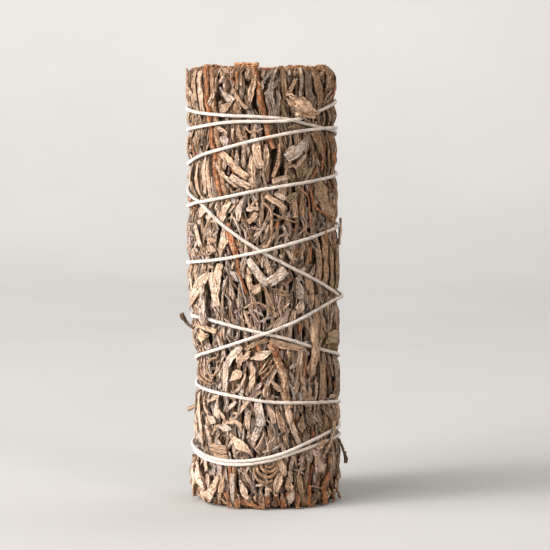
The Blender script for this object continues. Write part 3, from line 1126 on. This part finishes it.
for _, angle, height, heading, length, width, *_ in HAND_LEAVES:
    line = np.column_stack(leaf_line(angle, height, np.float64(heading), length, 14))
    mark(line, width * 0.42, UNDER_HAND_LEAF)
for rows, stations, margin, level in ((STEMS, 40, 0.1, UNDER_STEM), (TWIGS, 30, 0.15, UNDER_HAND_LEAF)):
    for radius, _, _, path in rows:
        mark(curve_through(np.array(path) * (ARC, 1), stations) / (ARC, 1), radius + margin, level)
print(round(float((marked > 0).mean()) * 100), "% of the surface marked")

# %% [markdown]
# ## Sprigs full of leaf
#
# A leaf belongs to the sprig that stands behind it, so the sprigs' own places, which turn a little from the
# base to the top, say which mesh each leaf goes in. Five layers are laid, from long strips deep down to
# short loose bits on top. Neighbouring leaves lean the same way, by a slow wave over the surface. The places
# in a layer step on by two fixed shares of the surface, which fills it evenly with nothing in rows.

# %% Leaf layers
SECTORS = len(outer_sprigs)
FIRST_SECTOR_ANGLE = 6.0
LAYERS = [
    # count, lift, length, width, heading spread, roll spread, strays, marks it may lie on
    (520, (-2.6, -1.9), (12, 20), (1.8, 3.2), 5, 14, 0.0, UNDER_STEM),
    (900, (-1.7, -1.0), (10, 18), (1.2, 2.5), 7, 34, 0.05, UNDER_STEM),
    (1500, (-0.9, -0.1), (6, 15), (0.7, 1.9), 9, 38, 0.12, UNDER_HAND_LEAF),
    (2500, (-0.1, 0.55), (5, 12), (0.55, 1.6), 11, 34, 0.18, FREE),
    (3200, (-0.1, 0.65), (2.0, 4.6), (0.5, 1.3), 24, 40, 0.30, FREE),
]
KIND_SHARES = {"tongue": 0.30, "narrow": 0.22, "broad": 0.08, "fan": 0.10, "ribbon": 0.30}
STEP_ROUND = 0.7548776662
STEP_UP = 0.5698402910
STRAY_SPREAD = 48
ROLLED_SHARE = 0.3
FOLDED_SHARE = 0.3
HUE_MIDDLE = 0.36
HUE_SPREAD = 0.19
ORANGE_SHARE = 0.015


print(sum(layer[0] for layer in LAYERS), "leaves in", len(LAYERS), "layers over", SECTORS, "sprigs")


def sector_of(angle, height):
    """Which outer sprig stands behind this place."""
    nominal = angle - TWIST * (height / HEIGHT - 0.5) - FIRST_SECTOR_ANGLE
    return np.round(nominal / (360 / SECTORS)).astype(int) % SECTORS


def flow(angle, height):
    """A slow wave over the surface, from -1 to 1, that neighbouring leaves lean by."""
    a = np.radians(angle)
    waves = np.sin(3 * a + height * 0.09) + np.sin(5 * a - height * 0.14 + 1.3)
    return (waves + np.sin(2 * a + height * 0.23 + 4)) / 3


def tangle(angle, height):
    """How far the leaves lie across each other: little where they run straight, more in the matted places."""
    a = np.radians(angle)
    matted = np.cos(2 * np.pi * (height - 24) / 56) * np.cos(a / 2) ** 2
    waves = 0.85 + 0.7 * np.cos(a + 0.5) + 0.5 * matted
    return np.clip(waves + 0.2 * np.sin(5 * a + height * 0.11), 0.35, 2.5)


# %% Random leaves
def between(low, high, count):
    return rng.uniform(low, high, count)


def cut_step(angle):
    """How far short of the saw's plane the sprigs end, in slow steps round the bundle."""
    a = np.radians(angle)
    return 0.5 + 0.7 * np.tanh(3 * np.sin(4 * a + 1.1)) + 0.4 * np.tanh(4 * np.sin(9 * a))


def random_leaves(layer):
    """One layer's leaves, spread evenly round the bundle with nothing in rows."""
    count, lift, length, width, heading_spread, roll_spread, strays, _ = layer
    k = np.arange(count) + rng.random() * 1000
    angle = (k * STEP_ROUND) % 1 * 360
    height = (k * STEP_UP) % 1 * HEIGHT
    loose = tangle(angle, height)
    heading = flow(angle, height) * heading_spread * 1.3 + rng.normal(0, heading_spread, count) * loose
    stray = rng.random(count) < strays * loose
    heading = np.where(stray, rng.normal(0, STRAY_SPREAD, count), heading)
    heading = heading + np.where(rng.random(count) < 0.5, 180, 0)
    lengths = between(*length, count) * np.where(stray, 0.75, 1)
    reach = lengths / 2 * np.abs(np.cos(np.radians(heading)))
    height = np.clip(height, reach * 0.96, HEIGHT - reach * 0.96)
    rolled_up = rng.random(count) < ROLLED_SHARE
    widths = between(*width, count)
    darker_side = 0.16 * np.sin(np.radians(angle - 10))
    hue = np.clip(rng.normal(HUE_MIDDLE, HUE_SPREAD, count) + darker_side, 0, 0.86)
    return {
        "angle": angle, "height": height, "lift": between(*lift, count), "heading": heading,
        "length": lengths, "width": np.where(rolled_up, widths * 0.8, widths),
        "cup": np.where(rolled_up, -between(1.2, 2.2, count), rng.normal(0, 0.75, count).clip(-1.5, 1.5)),
        "fold": np.where(rng.random(count) < FOLDED_SHARE, between(0.3, 0.8, count), 0),
        "roll": rng.normal(0, roll_spread, count), "twist": rng.normal(0, 35, count),
        "bend": rng.normal(0, 0.15, count) * loose, "tilt": rng.normal(0, 0.035, count),
        "curl": rng.normal(0, 0.06, count), "wave": between(0, 0.1, count),
        "sway": between(0.03, 0.22, count), "light": between(0.58, 1.5, count),
        "hue": np.where(rng.random(count) < ORANGE_SHARE, 1.0, hue),
        "trim": cut_step(angle) + rng.random(count) ** 2 * 1.8,
    }


# %% Lay the layers
leaf_batches = [Batch() for _ in range(SECTORS)]
kinds = list(KIND_SHARES)
laid = 0


def only(leaves, chosen):
    return {key: value[chosen] for key, value in leaves.items()}


def sort_into_sprigs(leaves, kind_of):
    """Lays leaves of several kinds, each into the batch of the sprig that stands behind it."""
    sector = sector_of(leaves["angle"], leaves["height"])
    for k, kind in enumerate(kinds):
        for number in range(SECTORS):
            chosen = (kind_of == k) & (sector == number)
            if chosen.any():
                lay(leaf_batches[number], blanks[kind], only(leaves, chosen))


for layer in LAYERS:
    leaves = random_leaves(layer)
    kind_of = rng.choice(len(kinds), len(leaves["angle"]), p=list(KIND_SHARES.values()))
    clear = most_marked(leaves) <= layer[-1]
    laid += clear.sum()
    sort_into_sprigs(only(leaves, clear), kind_of[clear])
print(laid, "leaves in", len(LAYERS), "layers")

# %% Crumbs along the sawn rims
RIM_CRUMBS = 900
CRUMB_HUES = [0.3, 0.55, 0.7, 1.0]
CRUMB_HUE_SHARES = [0.3, 0.35, 0.2, 0.15]
PAST_THE_CUT = -0.8


def rim_crumbs(top, count):
    """Small torn bits of wood and leaf, standing all along one rim."""
    angle = between(0, 360, count)
    reach = between(1.2, 3.2, count)
    top_height = HEIGHT + 0.5 - 0.6 * cut_step(angle) - rng.random(count) ** 2 * 1.6 - reach / 2
    foot_height = 0.3 + rng.random(count) ** 2 * 2.2 + reach / 2
    return {
        "angle": angle, "height": top_height if top else foot_height, "lift": between(-1.6, 0.5, count),
        "heading": rng.normal(0, 22, count), "length": reach, "width": between(0.5, 1.5, count),
        "roll": rng.normal(0, 40, count), "cup": rng.normal(0, 0.8, count), "tilt": rng.normal(0, 0.2, count),
        "light": between(0.7, 1.4, count), "hue": rng.choice(CRUMB_HUES, count, p=CRUMB_HUE_SHARES),
        "trim": np.full(count, PAST_THE_CUT),
    }


for top in (True, False):
    sort_into_sprigs(rim_crumbs(top, RIM_CRUMBS), rng.choice(len(kinds), RIM_CRUMBS))
print(RIM_CRUMBS, "crumbs on each rim")

# %% Leaves by hand join their sprigs
for kind, angle, height, heading, length, width, hue, light, *more in HAND_LEAVES:
    leaf = {
        "angle": [angle], "height": height, "heading": heading, "length": length, "width": width, "hue": hue,
        "light": light * HAND_LIGHT, "lift": HAND_LIFT, "crumple": HAND_CRUMPLE,
        "pleat": min(DEEPEST_PLEAT, width * PLEAT_SHARE),
        "roll": rng.normal(0, 8), "bend": rng.normal(0, 0.08),
    }
    leaf.update(*more)
    free = "free" in leaf
    if free:
        leaf["lift"] = leaf.pop("free")
    number = int(sector_of(angle, height))
    lay(leaf_batches[number], fine_blanks[kind], leaf, press=not free)
print("largest sprig so far", max(batch.count for batch in leaf_batches), "corners")

# %% [markdown]
# ## The heart of each sprig
#
# Behind the leaves each sprig is a dark mat of stem and crumbled leaf. The model's own solid is copied,
# drawn in under the leaves and trimmed a little below both sawn ends. The outer hearts are joined to their
# sprigs' leaves, and the inner ones, which only show at the ends, become one piece.

# %% Hearts
HEART_DEPTH = 2.3
HEART_DROP = 1.2


def make_heart(name):
    """A copy of the sprig's solid, drawn in by HEART_DEPTH at the rim and by HEART_DROP at the ends."""
    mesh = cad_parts[name].data.copy()
    heart = bpy.data.objects.new(f"{name}_heart", mesh)
    bpy.context.collection.objects.link(heart)
    select_only(heart)
    bpy.ops.object.mode_set(mode="EDIT")
    bpy.ops.mesh.select_all(action="SELECT")
    bpy.ops.mesh.remove_doubles(threshold=1e-5)
    bpy.ops.object.mode_set(mode="OBJECT")
    for v in mesh.vertices:
        x, y, z = v.co / MM
        z = min(max(z, HEART_DROP), HEIGHT - HEART_DROP)
        right, back = lean_at(z)
        out = math.hypot(x - right, y - back)
        rim = radius_at(z)
        drawn = 1 - HEART_DEPTH * max(0, (out - 0.5 * rim) / (0.5 * rim)) / max(out, 1)
        v.co = Vector((right + (x - right) * drawn, back + (y - back) * drawn, z)) * MM
    mesh.materials.clear()
    mesh.materials.append(matted_heart)
    return heart


# %% Hearts and leaves become pieces
def join(pieces):
    """Joins the others into the first piece."""
    select_only(*pieces)
    bpy.ops.object.join()
    return pieces[0]


for number, batch in enumerate(leaf_batches):
    name = outer_sprigs[number]
    leafy = batch.piece(f"{name}_leaves", dry_leaf, "sage_leaves")
    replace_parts(join([leafy, make_heart(name)]), name)
inner_sprigs = [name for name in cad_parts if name.startswith("sprig_") and name not in outer_sprigs]
inner = join([make_heart(name) for name in inner_sprigs])
inner.name = "inner_sprigs"
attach(inner, "root")
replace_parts(inner, *inner_sprigs)

# %% [markdown]
# ## Tubes
#
# Stems, twigs and the twine's plies are all rings of corners along a path, closed at both ends.


# %% Tubes
END_BULGE = 0.15


def tube_frame(path):
    """At each point of a path in mm, the direction out of the bundle and the direction sideways."""
    tangent = directions_along(path)
    side = np.cross(tangent, path * (1, 1, 0))
    side /= np.maximum(np.linalg.norm(side, axis=1, keepdims=True), 1e-9)
    return np.cross(side, tangent), side


def tube_faces(rings, sides):
    """Quads between the rings, and across both ends."""
    ring, k = np.meshgrid(np.arange(rings - 1), np.arange(sides), indexing="ij")
    a, b = ring * sides + k, ring * sides + (k + 1) % sides
    walls = stacked(a, b, b + sides, a + sides).reshape(-1, 4)
    first = np.array([(0, k, k - 1, k - 2) for k in range(3, sides, 2)])
    last = first[:, ::-1] + (rings - 1) * sides
    return np.concatenate([walls, first, last])


def add_tube(batch, path, radii, sides, tint=(1.0, 0.5, 0.0), end=0.5):
    """Adds a closed tube. radii has a row for each point, and end is how far the last ring closes up."""
    path = np.concatenate([path[:1], path, path[-1:]])
    radii = np.asarray(radii, float).reshape(len(path) - 2, -1) * np.ones(sides)
    radii = np.concatenate([radii[:1] * end, radii, radii[-1:] * end])
    path[0] += (path[1] - path[2]) * END_BULGE
    path[-1] += (path[-2] - path[-3]) * END_BULGE
    normal, side = tube_frame(path)
    turn = np.linspace(0, 2 * np.pi, sides, endpoint=False)
    ring = -normal[:, None] * np.cos(turn)[None, :, None] + side[:, None] * np.sin(turn)[None, :, None]
    points = path[:, None] + ring * radii[:, :, None]
    around = np.linspace(0, 1, sides, endpoint=False)
    along = distance_along(path)[:, None] * GRAIN_PER_MM
    grain = stacked(around[None, :], along).reshape(-1, 2)
    batch.add_one(points.reshape(-1, 3), tube_faces(len(path), sides), tint, grain)


# %% Stems and twigs
STEM_STEP = 0.6


def add_stem(batch, radius, flaked, light, path, lift, sides=10, press=True):
    """A stem along (angle, height) or (angle, height, lift), uneven all over."""
    rows = np.array([(*place, lift)[:3] for place in path], float)
    flat = rows * (ARC, 1, 1)
    rows = curve_through(flat, max(int(distance_along(flat)[-1] / STEM_STEP), 4)) / (ARC, 1, 1)
    if press:
        rows[:, 2] = np.minimum(rows[:, 2], highest_lift(rows[:, 0], rows[:, 1]) - radius - 0.02)
    steps = np.arange(len(rows))
    rows[:, 0] += 0.12 * radius * np.sin(steps * 0.5 + rng.random() * 6) / ARC
    ridges = 1 + 0.10 * rng.normal(0, 1, sides)[None, :] + 0.07 * rng.normal(0, 1, (len(rows), sides))
    swell = 1 + 0.08 * np.sin(steps * 0.35 + rng.random() * 6)[:, None]
    points = on_bundle(rows[:, 0], np.clip(rows[:, 1], 0.1, HEIGHT), rows[:, 2])
    add_tube(batch, points, radius * ridges * swell, sides, (light, flaked, rng.random()), end=0.7)


stem_batch = Batch()
for radius, flaked, light, path in STEMS:
    add_stem(stem_batch, radius, flaked, light, path, STEM_LIFT)
for radius, flaked, light, path in TWIGS:
    add_stem(stem_batch, radius, flaked, light, path, TWIG_LIFT, sides=6)
for radius, flaked, light, path in OVER_TWINE:
    add_stem(stem_batch, radius, flaked, light, path, 0, sides=6, press=False)
print(len(STEMS), "stems,", len(TWIGS), "twigs and", len(OVER_TWINE), "over the twine on the front")

# %% Twigs on the other sides
SCATTERED_TWIGS = 90
for _ in range(SCATTERED_TWIGS):
    angle, height = rng.uniform(80, 280), rng.uniform(3, HEIGHT - 3)
    lean, reach = rng.normal(0, 0.35), rng.uniform(2.5, 7)
    bow = rng.normal(0, 1.2)
    path = [(angle - lean * reach / ARC, height - reach), (angle + bow / ARC, height),
            (angle + lean * reach / ARC, height + reach)]
    path = [(a, min(max(h, 1), HEIGHT - 0.5)) for a, h in path]
    thin = rng.random() < 0.8
    radius = rng.uniform(0.2, 0.42) if thin else rng.uniform(0.5, 0.9)
    flaked = rng.choice([0.05, 0.5, 0.9], p=[0.2, 0.2, 0.6])
    add_stem(stem_batch, radius, flaked, rng.uniform(0.9, 1.3), path, TWIG_LIFT if thin else STEM_LIFT, 6)
stem_batch.piece("stems_and_twigs", flaking_bark, "sage_stems")
print(stem_batch.count, "corners of stems and twigs")

# %% [markdown]
# ## Pieces that stick out
#
# Some leaves and twigs stand away from the bundle and lie over the twine. The model has a solid for each,
# and each is replaced along the same path.

# %% Loose leaves and twigs
LOOSE_DEPTH = 0.8
LOOSE = [
    # node, blank, width, path, hue, lightness, more
    ("loose_leaf_upper_right", "three_pointed", 6.4,
     [(18, 116.2, 1.0), (27, 114.0, 2.1), (34, 112.2, 2.7), (43, 110.2, 2.2)], 0.5, 1.05,
     {"cup": -0.9, "crumple": 0.3, "pleat": 0.6}),
    ("loose_leaf_left_broad", "narrow", 3.7,
     [(-43, 66.4, 1.0), (-51, 64.0, 1.4), (-60, 61.0, 1.6), (-71, 58.2, 1.5), (-83, 55.0, 1.2)], 0.22, 0.84,
     {"cup": -0.12, "crumple": 0.03, "roll": -10, "sway": 0.0}),
    ("loose_leaf_left_tip", "fan", 2.6,
     [(-81, 49.4, 0.6), (-85, 50.6, 1.6), (-87, 52.0, 2.7), (-87, 53.8, 3.3)], 0.8, 0.62, {"fold": 0.5}),
    ("loose_leaf_left_low", "ribbon", 1.3,
     [(-84, 26.9, 0.6), (-85, 26.3, 1.6), (-86, 25.6, 3.0)], 0.5, 1.2, {}),
    ("loose_leaf_right", "ribbon", 2.6, [(87, 73.6, 0.8), (87, 76.2, 1.5), (88, 78.8, 1.8), (89, 81, 1.7)],
     0.35, 1.3, {"cup": -0.2}),
    ("loose_leaf_right_low", "fan", 2.6, [(83, 17.6, 0.6), (85, 14.6, 1.4), (87, 12.4, 2.2), (88, 10.2, 2.6)],
     0.75, 0.75, {"fold": 0.3}),
    ("loose_stem_front", "ribbon", 2.9,
     [(40, 52.6, 0.9), (40, 48.4, 1.6), (40, 45.4, 1.9), (39.5, 42, 1.4), (39, 38.6, 0.9)],
     0.52, 1.05, {"cup": -0.7}),
]
print(len(LOOSE), "paths that loose leaves lie along")


# %% Bend leaves along their paths
def make_loose_leaf(node, kind, width, path, hue, light, more):
    """A leaf of the given blank, bent along a path of (angle, height, lift)."""
    corners, faces, share, _ = fine_blanks[kind]
    line = curve_through(np.array(path, float) * (ARC, 1, 1), CURVE_STATIONS)
    line = on_bundle(line[:, 0] / ARC, line[:, 1], line[:, 2])
    length = distance_along(line)[-1]
    p = {key: np.array([[float(value)]]) for key, value in {**DEFAULTS, **more}.items()}
    p.update(width=np.array([[width]]), length=np.array([[length]]))
    across, _, out = shape_leaf(fine_blanks[kind], p, rng.random((1, 1)))
    station = corners[:, 1] * (CURVE_STATIONS - 1)
    at = stacked(*(np.interp(station, np.arange(CURVE_STATIONS), line[:, i]) for i in range(3)))
    normal, side = tube_frame(line)
    near = np.round(station).astype(int)
    points = at - side[near] * across[0][:, None] + normal[near] * out[0][:, None]
    grain = stacked(share * 0.5 + 0.5, corners[:, 1] * length * GRAIN_PER_MM)
    batch = Batch()
    batch.add_one(points, faces, (light, hue, rng.random()), grain, depth=LOOSE_DEPTH)
    slot = "sage_stems" if node.startswith("loose_stem") else "sage_leaves"
    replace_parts(batch.piece(f"{node}_laid", dry_leaf, slot), node)


for row in LOOSE:
    make_loose_leaf(*row)
LOW_TWIG_PATH = [(63, 24.0, 1.2), (59, 21.2, 2.1), (54, 17.8, 2.1), (49, 14.0, 1.0)]
low_twig = Batch()
add_stem(low_twig, 0.38, 0.9, 1.2, LOW_TWIG_PATH, 0, 8, press=False)
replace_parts(low_twig.piece("loose_twig_right_low_laid", flaking_bark, "sage_stems"), "loose_twig_right_low")
print(len(LOOSE), "loose leaves and one twig")

# %% [markdown]
# ## The sawn ends
#
# At both ends the sprigs are sawn off square. Round wood shows its rings, pith and bark, and the leaves
# between show their cut edges, packed on edge in curved rows. Each row is a thin strip standing on edge.

# %% Cut edges of leaves
END_STRIPS = 1500
END_DEEP = 3.2
RIM_GAP = 1.2
EDGE_GAP = 0.9
# Each strip is turned this far on from the last, in radians, as the seeds of a flower head are.
SEED_TURN = 2.39996


def strips_on_edge(k, angle):
    """Bent strips seen from their middles: how far right and back each corner is, and its place along."""
    reach = 0.5 * rng.uniform(1.8, 5.0, (END_STRIPS, 1))
    heading = (angle + rng.normal(0, 0.9, END_STRIPS))[:, None]
    curve = rng.normal(0, 0.10, (END_STRIPS, 1))
    thick = rng.uniform(0.22, 0.42, (END_STRIPS, 1))
    corners = blanks["ribbon"][0]
    s, z = corners[None, :, 1] * 2 - 1, corners[None, :, 2]
    along = reach * s
    wavy = 0.12 * np.sin(along * 2.2 + k[:, None])
    aside = curve * along**2 + z * thick * (1 - 0.6 * np.abs(s) ** 3) + wavy
    right = along * np.cos(heading) - aside * np.sin(heading)
    back = along * np.sin(heading) + aside * np.cos(heading)
    return right, back, (s + 1) * reach * GRAIN_PER_MM / 2


def add_end(batch, top):
    """Strips on edge over the whole end, bent round the nearest stem."""
    corners, faces, share, _ = blanks["ribbon"]
    k = np.arange(END_STRIPS) + 0.5
    out = np.sqrt(k / END_STRIPS)[:, None]
    angle = k * SEED_TURN
    plane = HEIGHT if top else 0.0
    right, back, along = strips_on_edge(k, angle)
    rim = (radius_at(plane) - RIM_GAP) * out
    x = rim * np.sin(angle)[:, None] + right
    y = -rim * np.cos(angle)[:, None] + back
    far = np.hypot(x, y)
    edge = radius_at(plane) - EDGE_GAP
    shrink = np.where(far > edge, edge / np.maximum(far, 1e-6), 1)
    drop = rng.random((END_STRIPS, 1)) ** 2 * 1.1 + (0.5 + cut_step(np.degrees(angle))[:, None]) * out**4
    inner = END_DEEP * (0.5 - corners[None, :, 0])
    height = plane - drop - inner if top else plane + 0.05 + drop + inner
    lean_right, lean_back = lean_at(plane)
    points = stacked(x * shrink + lean_right, y * shrink + lean_back, height)
    depth = -drop * 1.5 - np.clip(inner, 0, 2)
    light = rng.uniform(0.7, 1.3, (END_STRIPS, 1))
    hue = np.clip(rng.normal(0.5, 0.2, (END_STRIPS, 1)), 0, 1)
    tint = stacked(light, hue, k[:, None] % 1)
    batch.add(points, faces, tint, depth, stacked(share[None] * 0.5 + 0.5, along))


for top, name in ((True, "cut_leaf_edges_top"), (False, "cut_leaf_edges_foot")):
    end_batch = Batch()
    add_end(end_batch, top)
    end_batch.piece(name, dry_leaf, "sage_leaves")
    print(name, end_batch.count, "corners")

# %% Sawn stems
WOOD_SIDES = 14
WOOD_RINGS = (0.04, 0.35, 0.68, 0.9, 1.0)
WOOD_DEEP = 4.0


def add_sawn_stem(batch, x, y, radius, top, proud):
    """A stem's end: rings of corners out from the pith, and then down the bark."""
    turn = np.linspace(0, 2 * np.pi, WOOD_SIDES, endpoint=False)
    uneven = 1 + 0.09 * np.sin(turn * 2 + rng.random() * 6) + 0.05 * rng.normal(0, 1, WOOD_SIDES)
    plane = HEIGHT + proud if top else 0.02 - proud
    inwards = -1 if top else 1
    rows = [(share, 0.05 * rng.random()) for share in WOOD_RINGS]
    rows += [(1.02, 0.5), (1.0, WOOD_DEEP), (0.04, WOOD_DEEP)]
    points, grain = [], []
    for share, drop in rows:
        ring_x = x + radius * share * uneven * np.cos(turn)
        ring_y = y + radius * share * uneven * np.sin(turn)
        points.append(stacked(ring_x, ring_y, plane + inwards * drop))
        grain.append(stacked(share, turn / 6.3))
    faces = tube_faces(len(rows), WOOD_SIDES)
    batch.add_one(np.concatenate(points), faces, (1.0, 0.5, rng.random()), np.concatenate(grain))


SPLIT_STEM = "sprig_middle_12"
THICK_STEMS = {"sprig_core": 2.6, SPLIT_STEM: 2.4}


def node_corners(name):
    return np.array([v.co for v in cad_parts[name].data.vertices]) / MM


wood_batch = Batch()
sprig_names = [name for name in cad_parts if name.startswith("sprig_")]
for name in sprig_names:
    corners = node_corners(name)
    for top in (True, False):
        at_end = corners[corners[:, 2] > HEIGHT - 2] if top else corners[corners[:, 2] < 2]
        x, y = at_end[:, 0].mean(), at_end[:, 1].mean()
        radius = THICK_STEMS.get(name, rng.uniform(0.8, 1.5))
        proud = -0.3 if top and name == SPLIT_STEM else -0.25 * rng.random()
        add_sawn_stem(wood_batch, x, y, radius, top, proud)
print(2 * len(sprig_names), "sawn stems")

# %% The split stem at the top
# how far right, how far up, length, width
SPLINTERS = [
    (0.0, 1.0, 6.8, 2.6), (0.2, 0.4, 5.8, 3.2), (-0.7, -0.1, 6.6, 3.4), (0.9, -0.5, 7.0, 3.0),
    (-2.5, 0.7, 1.6, 2.0),
]
SPLINTER_THICK = 0.46


def add_splinter(batch, x, y, height, length, width):
    """A flat torn plate of wood, lying level."""
    corners, faces, _, pairs = fine_blanks["ribbon"]
    torn = rng.normal(0, 0.1, (pairs.max() + 1, 3))[pairs]
    ends = 1 + 0.12 * rng.normal(0, 1, pairs.max() + 1)[pairs]
    along = (corners[:, 1] - 0.5) * length * ends
    points = stacked(x + along, y + corners[:, 0] * width, height + corners[:, 2] * SPLINTER_THICK)
    grain = stacked(0.3 + 0.4 * corners[:, 1], corners[:, 0])
    batch.add_one(points + torn, faces, (1.0, 0.5, rng.random()), grain)


split = node_corners(SPLIT_STEM)
split = split[split[:, 2] > HEIGHT + 0.5].mean(axis=0)
print("split stem at", split.round(1))
for right, up, length, width in SPLINTERS:
    add_splinter(wood_batch, split[0] + right, split[1], HEIGHT + up, length, width)
wood_batch.piece("sawn_stems", sawn_wood, "sage_stems")

# %% [markdown]
# ## The twine
#
# Soft cotton twine is three plies laid round each other. Each ply is a thin tube wound round the route.

# %% Twine
PLIES = 3
PLY_RADIUS = 0.252
PLY_OFFSET = 0.262
LAY_LENGTH = 2.7
PLY_SIDES = 6


def make_twine():
    normal, side = tube_frame(twine_path)
    distance = distance_along(twine_path)
    batch = Batch()
    for ply in range(PLIES):
        turn = 2 * np.pi * (distance / LAY_LENGTH + ply / PLIES) + 0.3 * np.sin(distance * 0.21)
        offset = normal * np.cos(turn)[:, None] + side * np.sin(turn)[:, None]
        uneven = 0.07 * np.sin(distance * 0.9 + ply * 2) + 0.05 * np.sin(distance * 2.3 + ply)
        radii = PLY_RADIUS * (1 + uneven[:, None])
        add_tube(batch, twine_path + offset * PLY_OFFSET, radii, PLY_SIDES)
    add_fibres(batch)
    return batch.piece("twine_plies", cotton, "cotton_twine")


FIBRES = 900
FIBRE_RADIUS = 0.028


def add_fibres(batch):
    """Short loose hairs of cotton, each a thin four-sided tube that lifts off the twine."""
    normal, side = tube_frame(twine_path)
    tangent = directions_along(twine_path)
    start = rng.integers(3, len(twine_path) - 3, FIBRES)
    turn = rng.uniform(0, 2 * np.pi, (FIBRES, 1))
    away = normal[start] * np.cos(turn) + side[start] * np.sin(turn)
    along = tangent[start] * rng.choice([-1, 1], (FIBRES, 1))
    reach = rng.uniform(0.6, 1.7, (FIBRES, 1))
    t = np.linspace(0, 1, 5)[None, :, None]
    rise = (rng.uniform(0.12, 0.5, (FIBRES, 1)) * reach)[:, None]
    lift = 0.3 + rise * t ** rng.uniform(0.8, 2, (FIBRES, 1, 1))
    middle = twine_path[start][:, None] + away[:, None] * lift + along[:, None] * t * reach[:, None]
    sides = np.array([(1, 0), (0, 1), (-1, 0), (0, -1)]) * FIBRE_RADIUS
    across = np.cross(away, along)
    offset = sides[None, :, :1] * away[:, None] + sides[None, :, 1:] * across[:, None]
    points = (middle[:, :, None] + offset[:, None] * (1 - 0.7 * t[..., None])).reshape(FIBRES, -1, 3)
    faces = outward(points[0] - points[0].mean(axis=0), tube_faces(5, 4))
    handed = np.einsum("ij,ij->i", np.cross(away, across), along)
    same_hand = handed * handed[0] > 0
    for keep, way in ((same_hand, faces), (~same_hand, faces[:, ::-1])):
        batch.add(points[keep], way, (1.0, 0.5, 0.0), 0.0, (0.5, 0.5))


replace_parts(make_twine(), "twine")
print(PLIES, "plies and", FIBRES, "loose fibres")

# %% [markdown]
# ## The room
#
# A pale floor curves up into a wall. A key light and a large soft window stand at the left, a weak warm
# fill stands at the right, and one more light washes the wall.

# %% Room
FLOOR_FRONT = -1.4
COVE_START = 0.62
COVE_RADIUS = 0.5
WALL_TOP = 1.2
ROOM_HALF_WIDTH = 2.0
PLASTER = [(0.3, (0.34, 0.34, 0.338)), (0.7, (0.368, 0.368, 0.366))]
bpy.ops.object.select_all(action="DESELECT")
bpy.ops.mesh.primitive_grid_add(x_subdivisions=1, y_subdivisions=40, size=1)
room = bpy.context.object
room.name = "floor"
for v in room.data.vertices:
    run = (v.co.y + 0.5) * (COVE_START - FLOOR_FRONT + COVE_RADIUS * math.pi / 2 + WALL_TOP)
    flat = min(run, COVE_START - FLOOR_FRONT)
    bend = min(max(run - flat, 0) / COVE_RADIUS, math.pi / 2)
    rise = max(run - flat - COVE_RADIUS * math.pi / 2, 0)
    y = FLOOR_FRONT + flat + COVE_RADIUS * math.sin(bend)
    v.co = (v.co.x * 2 * ROOM_HALF_WIDTH, y, COVE_RADIUS * (1 - math.cos(bend)) + rise)
room.data.shade_smooth()
plaster = Nodes("pale_plaster")
clouds = plaster.noise(plaster.object_place(), 5.0, 3.0, 0.5)
room.data.materials.append(plaster.finish(plaster.ramp(clouds, PLASTER), 0.9, clouds, 0.00005))
print("room", len(room.data.polygons), "faces")


# %% Light
def add_light(name, place, aim, size, watts, colour):
    turn = (Vector(aim) - Vector(place)).to_track_quat("-Z", "Y").to_euler()
    bpy.ops.object.light_add(type="AREA", location=place, rotation=turn)
    light = bpy.context.object
    light.name = name
    light.data.shape = "DISK"
    light.data.size = size
    light.data.energy = watts
    light.data.color = colour
    light.visible_camera = False


# name, place and aim in metres, width in metres, watts, colour
LIGHTS = [
    ("key", (-1.28, -0.55, 0.52), (0, 0, 0.055), 0.5, 24, (1.0, 0.95, 0.9)),
    ("window", (-1.35, -0.65, 0.75), (0, 0, 0.05), 2.0, 73, (1.0, 0.965, 0.93)),
    ("fill", (0.85, -1.0, 0.35), (0, 0, 0.06), 0.3, 8.6, (1.0, 0.9, 0.78)),
    ("wall_wash", (0.45, 0.5, 1.3), (0.25, 1.1, 0.15), 0.8, 9.5, (1.0, 0.95, 0.905)),
]
SKY_COLOUR = (1.0, 0.96, 0.92, 1)
SKY_STRENGTH = 0.46
for light in LIGHTS:
    add_light(*light)
world = bpy.data.worlds.new("studio")
world.use_nodes = True
sky = world.node_tree.nodes["Background"].inputs
sky["Color"].default_value = SKY_COLOUR
sky["Strength"].default_value = SKY_STRENGTH
bpy.context.scene.world = world
print(len(LIGHTS), "lights")
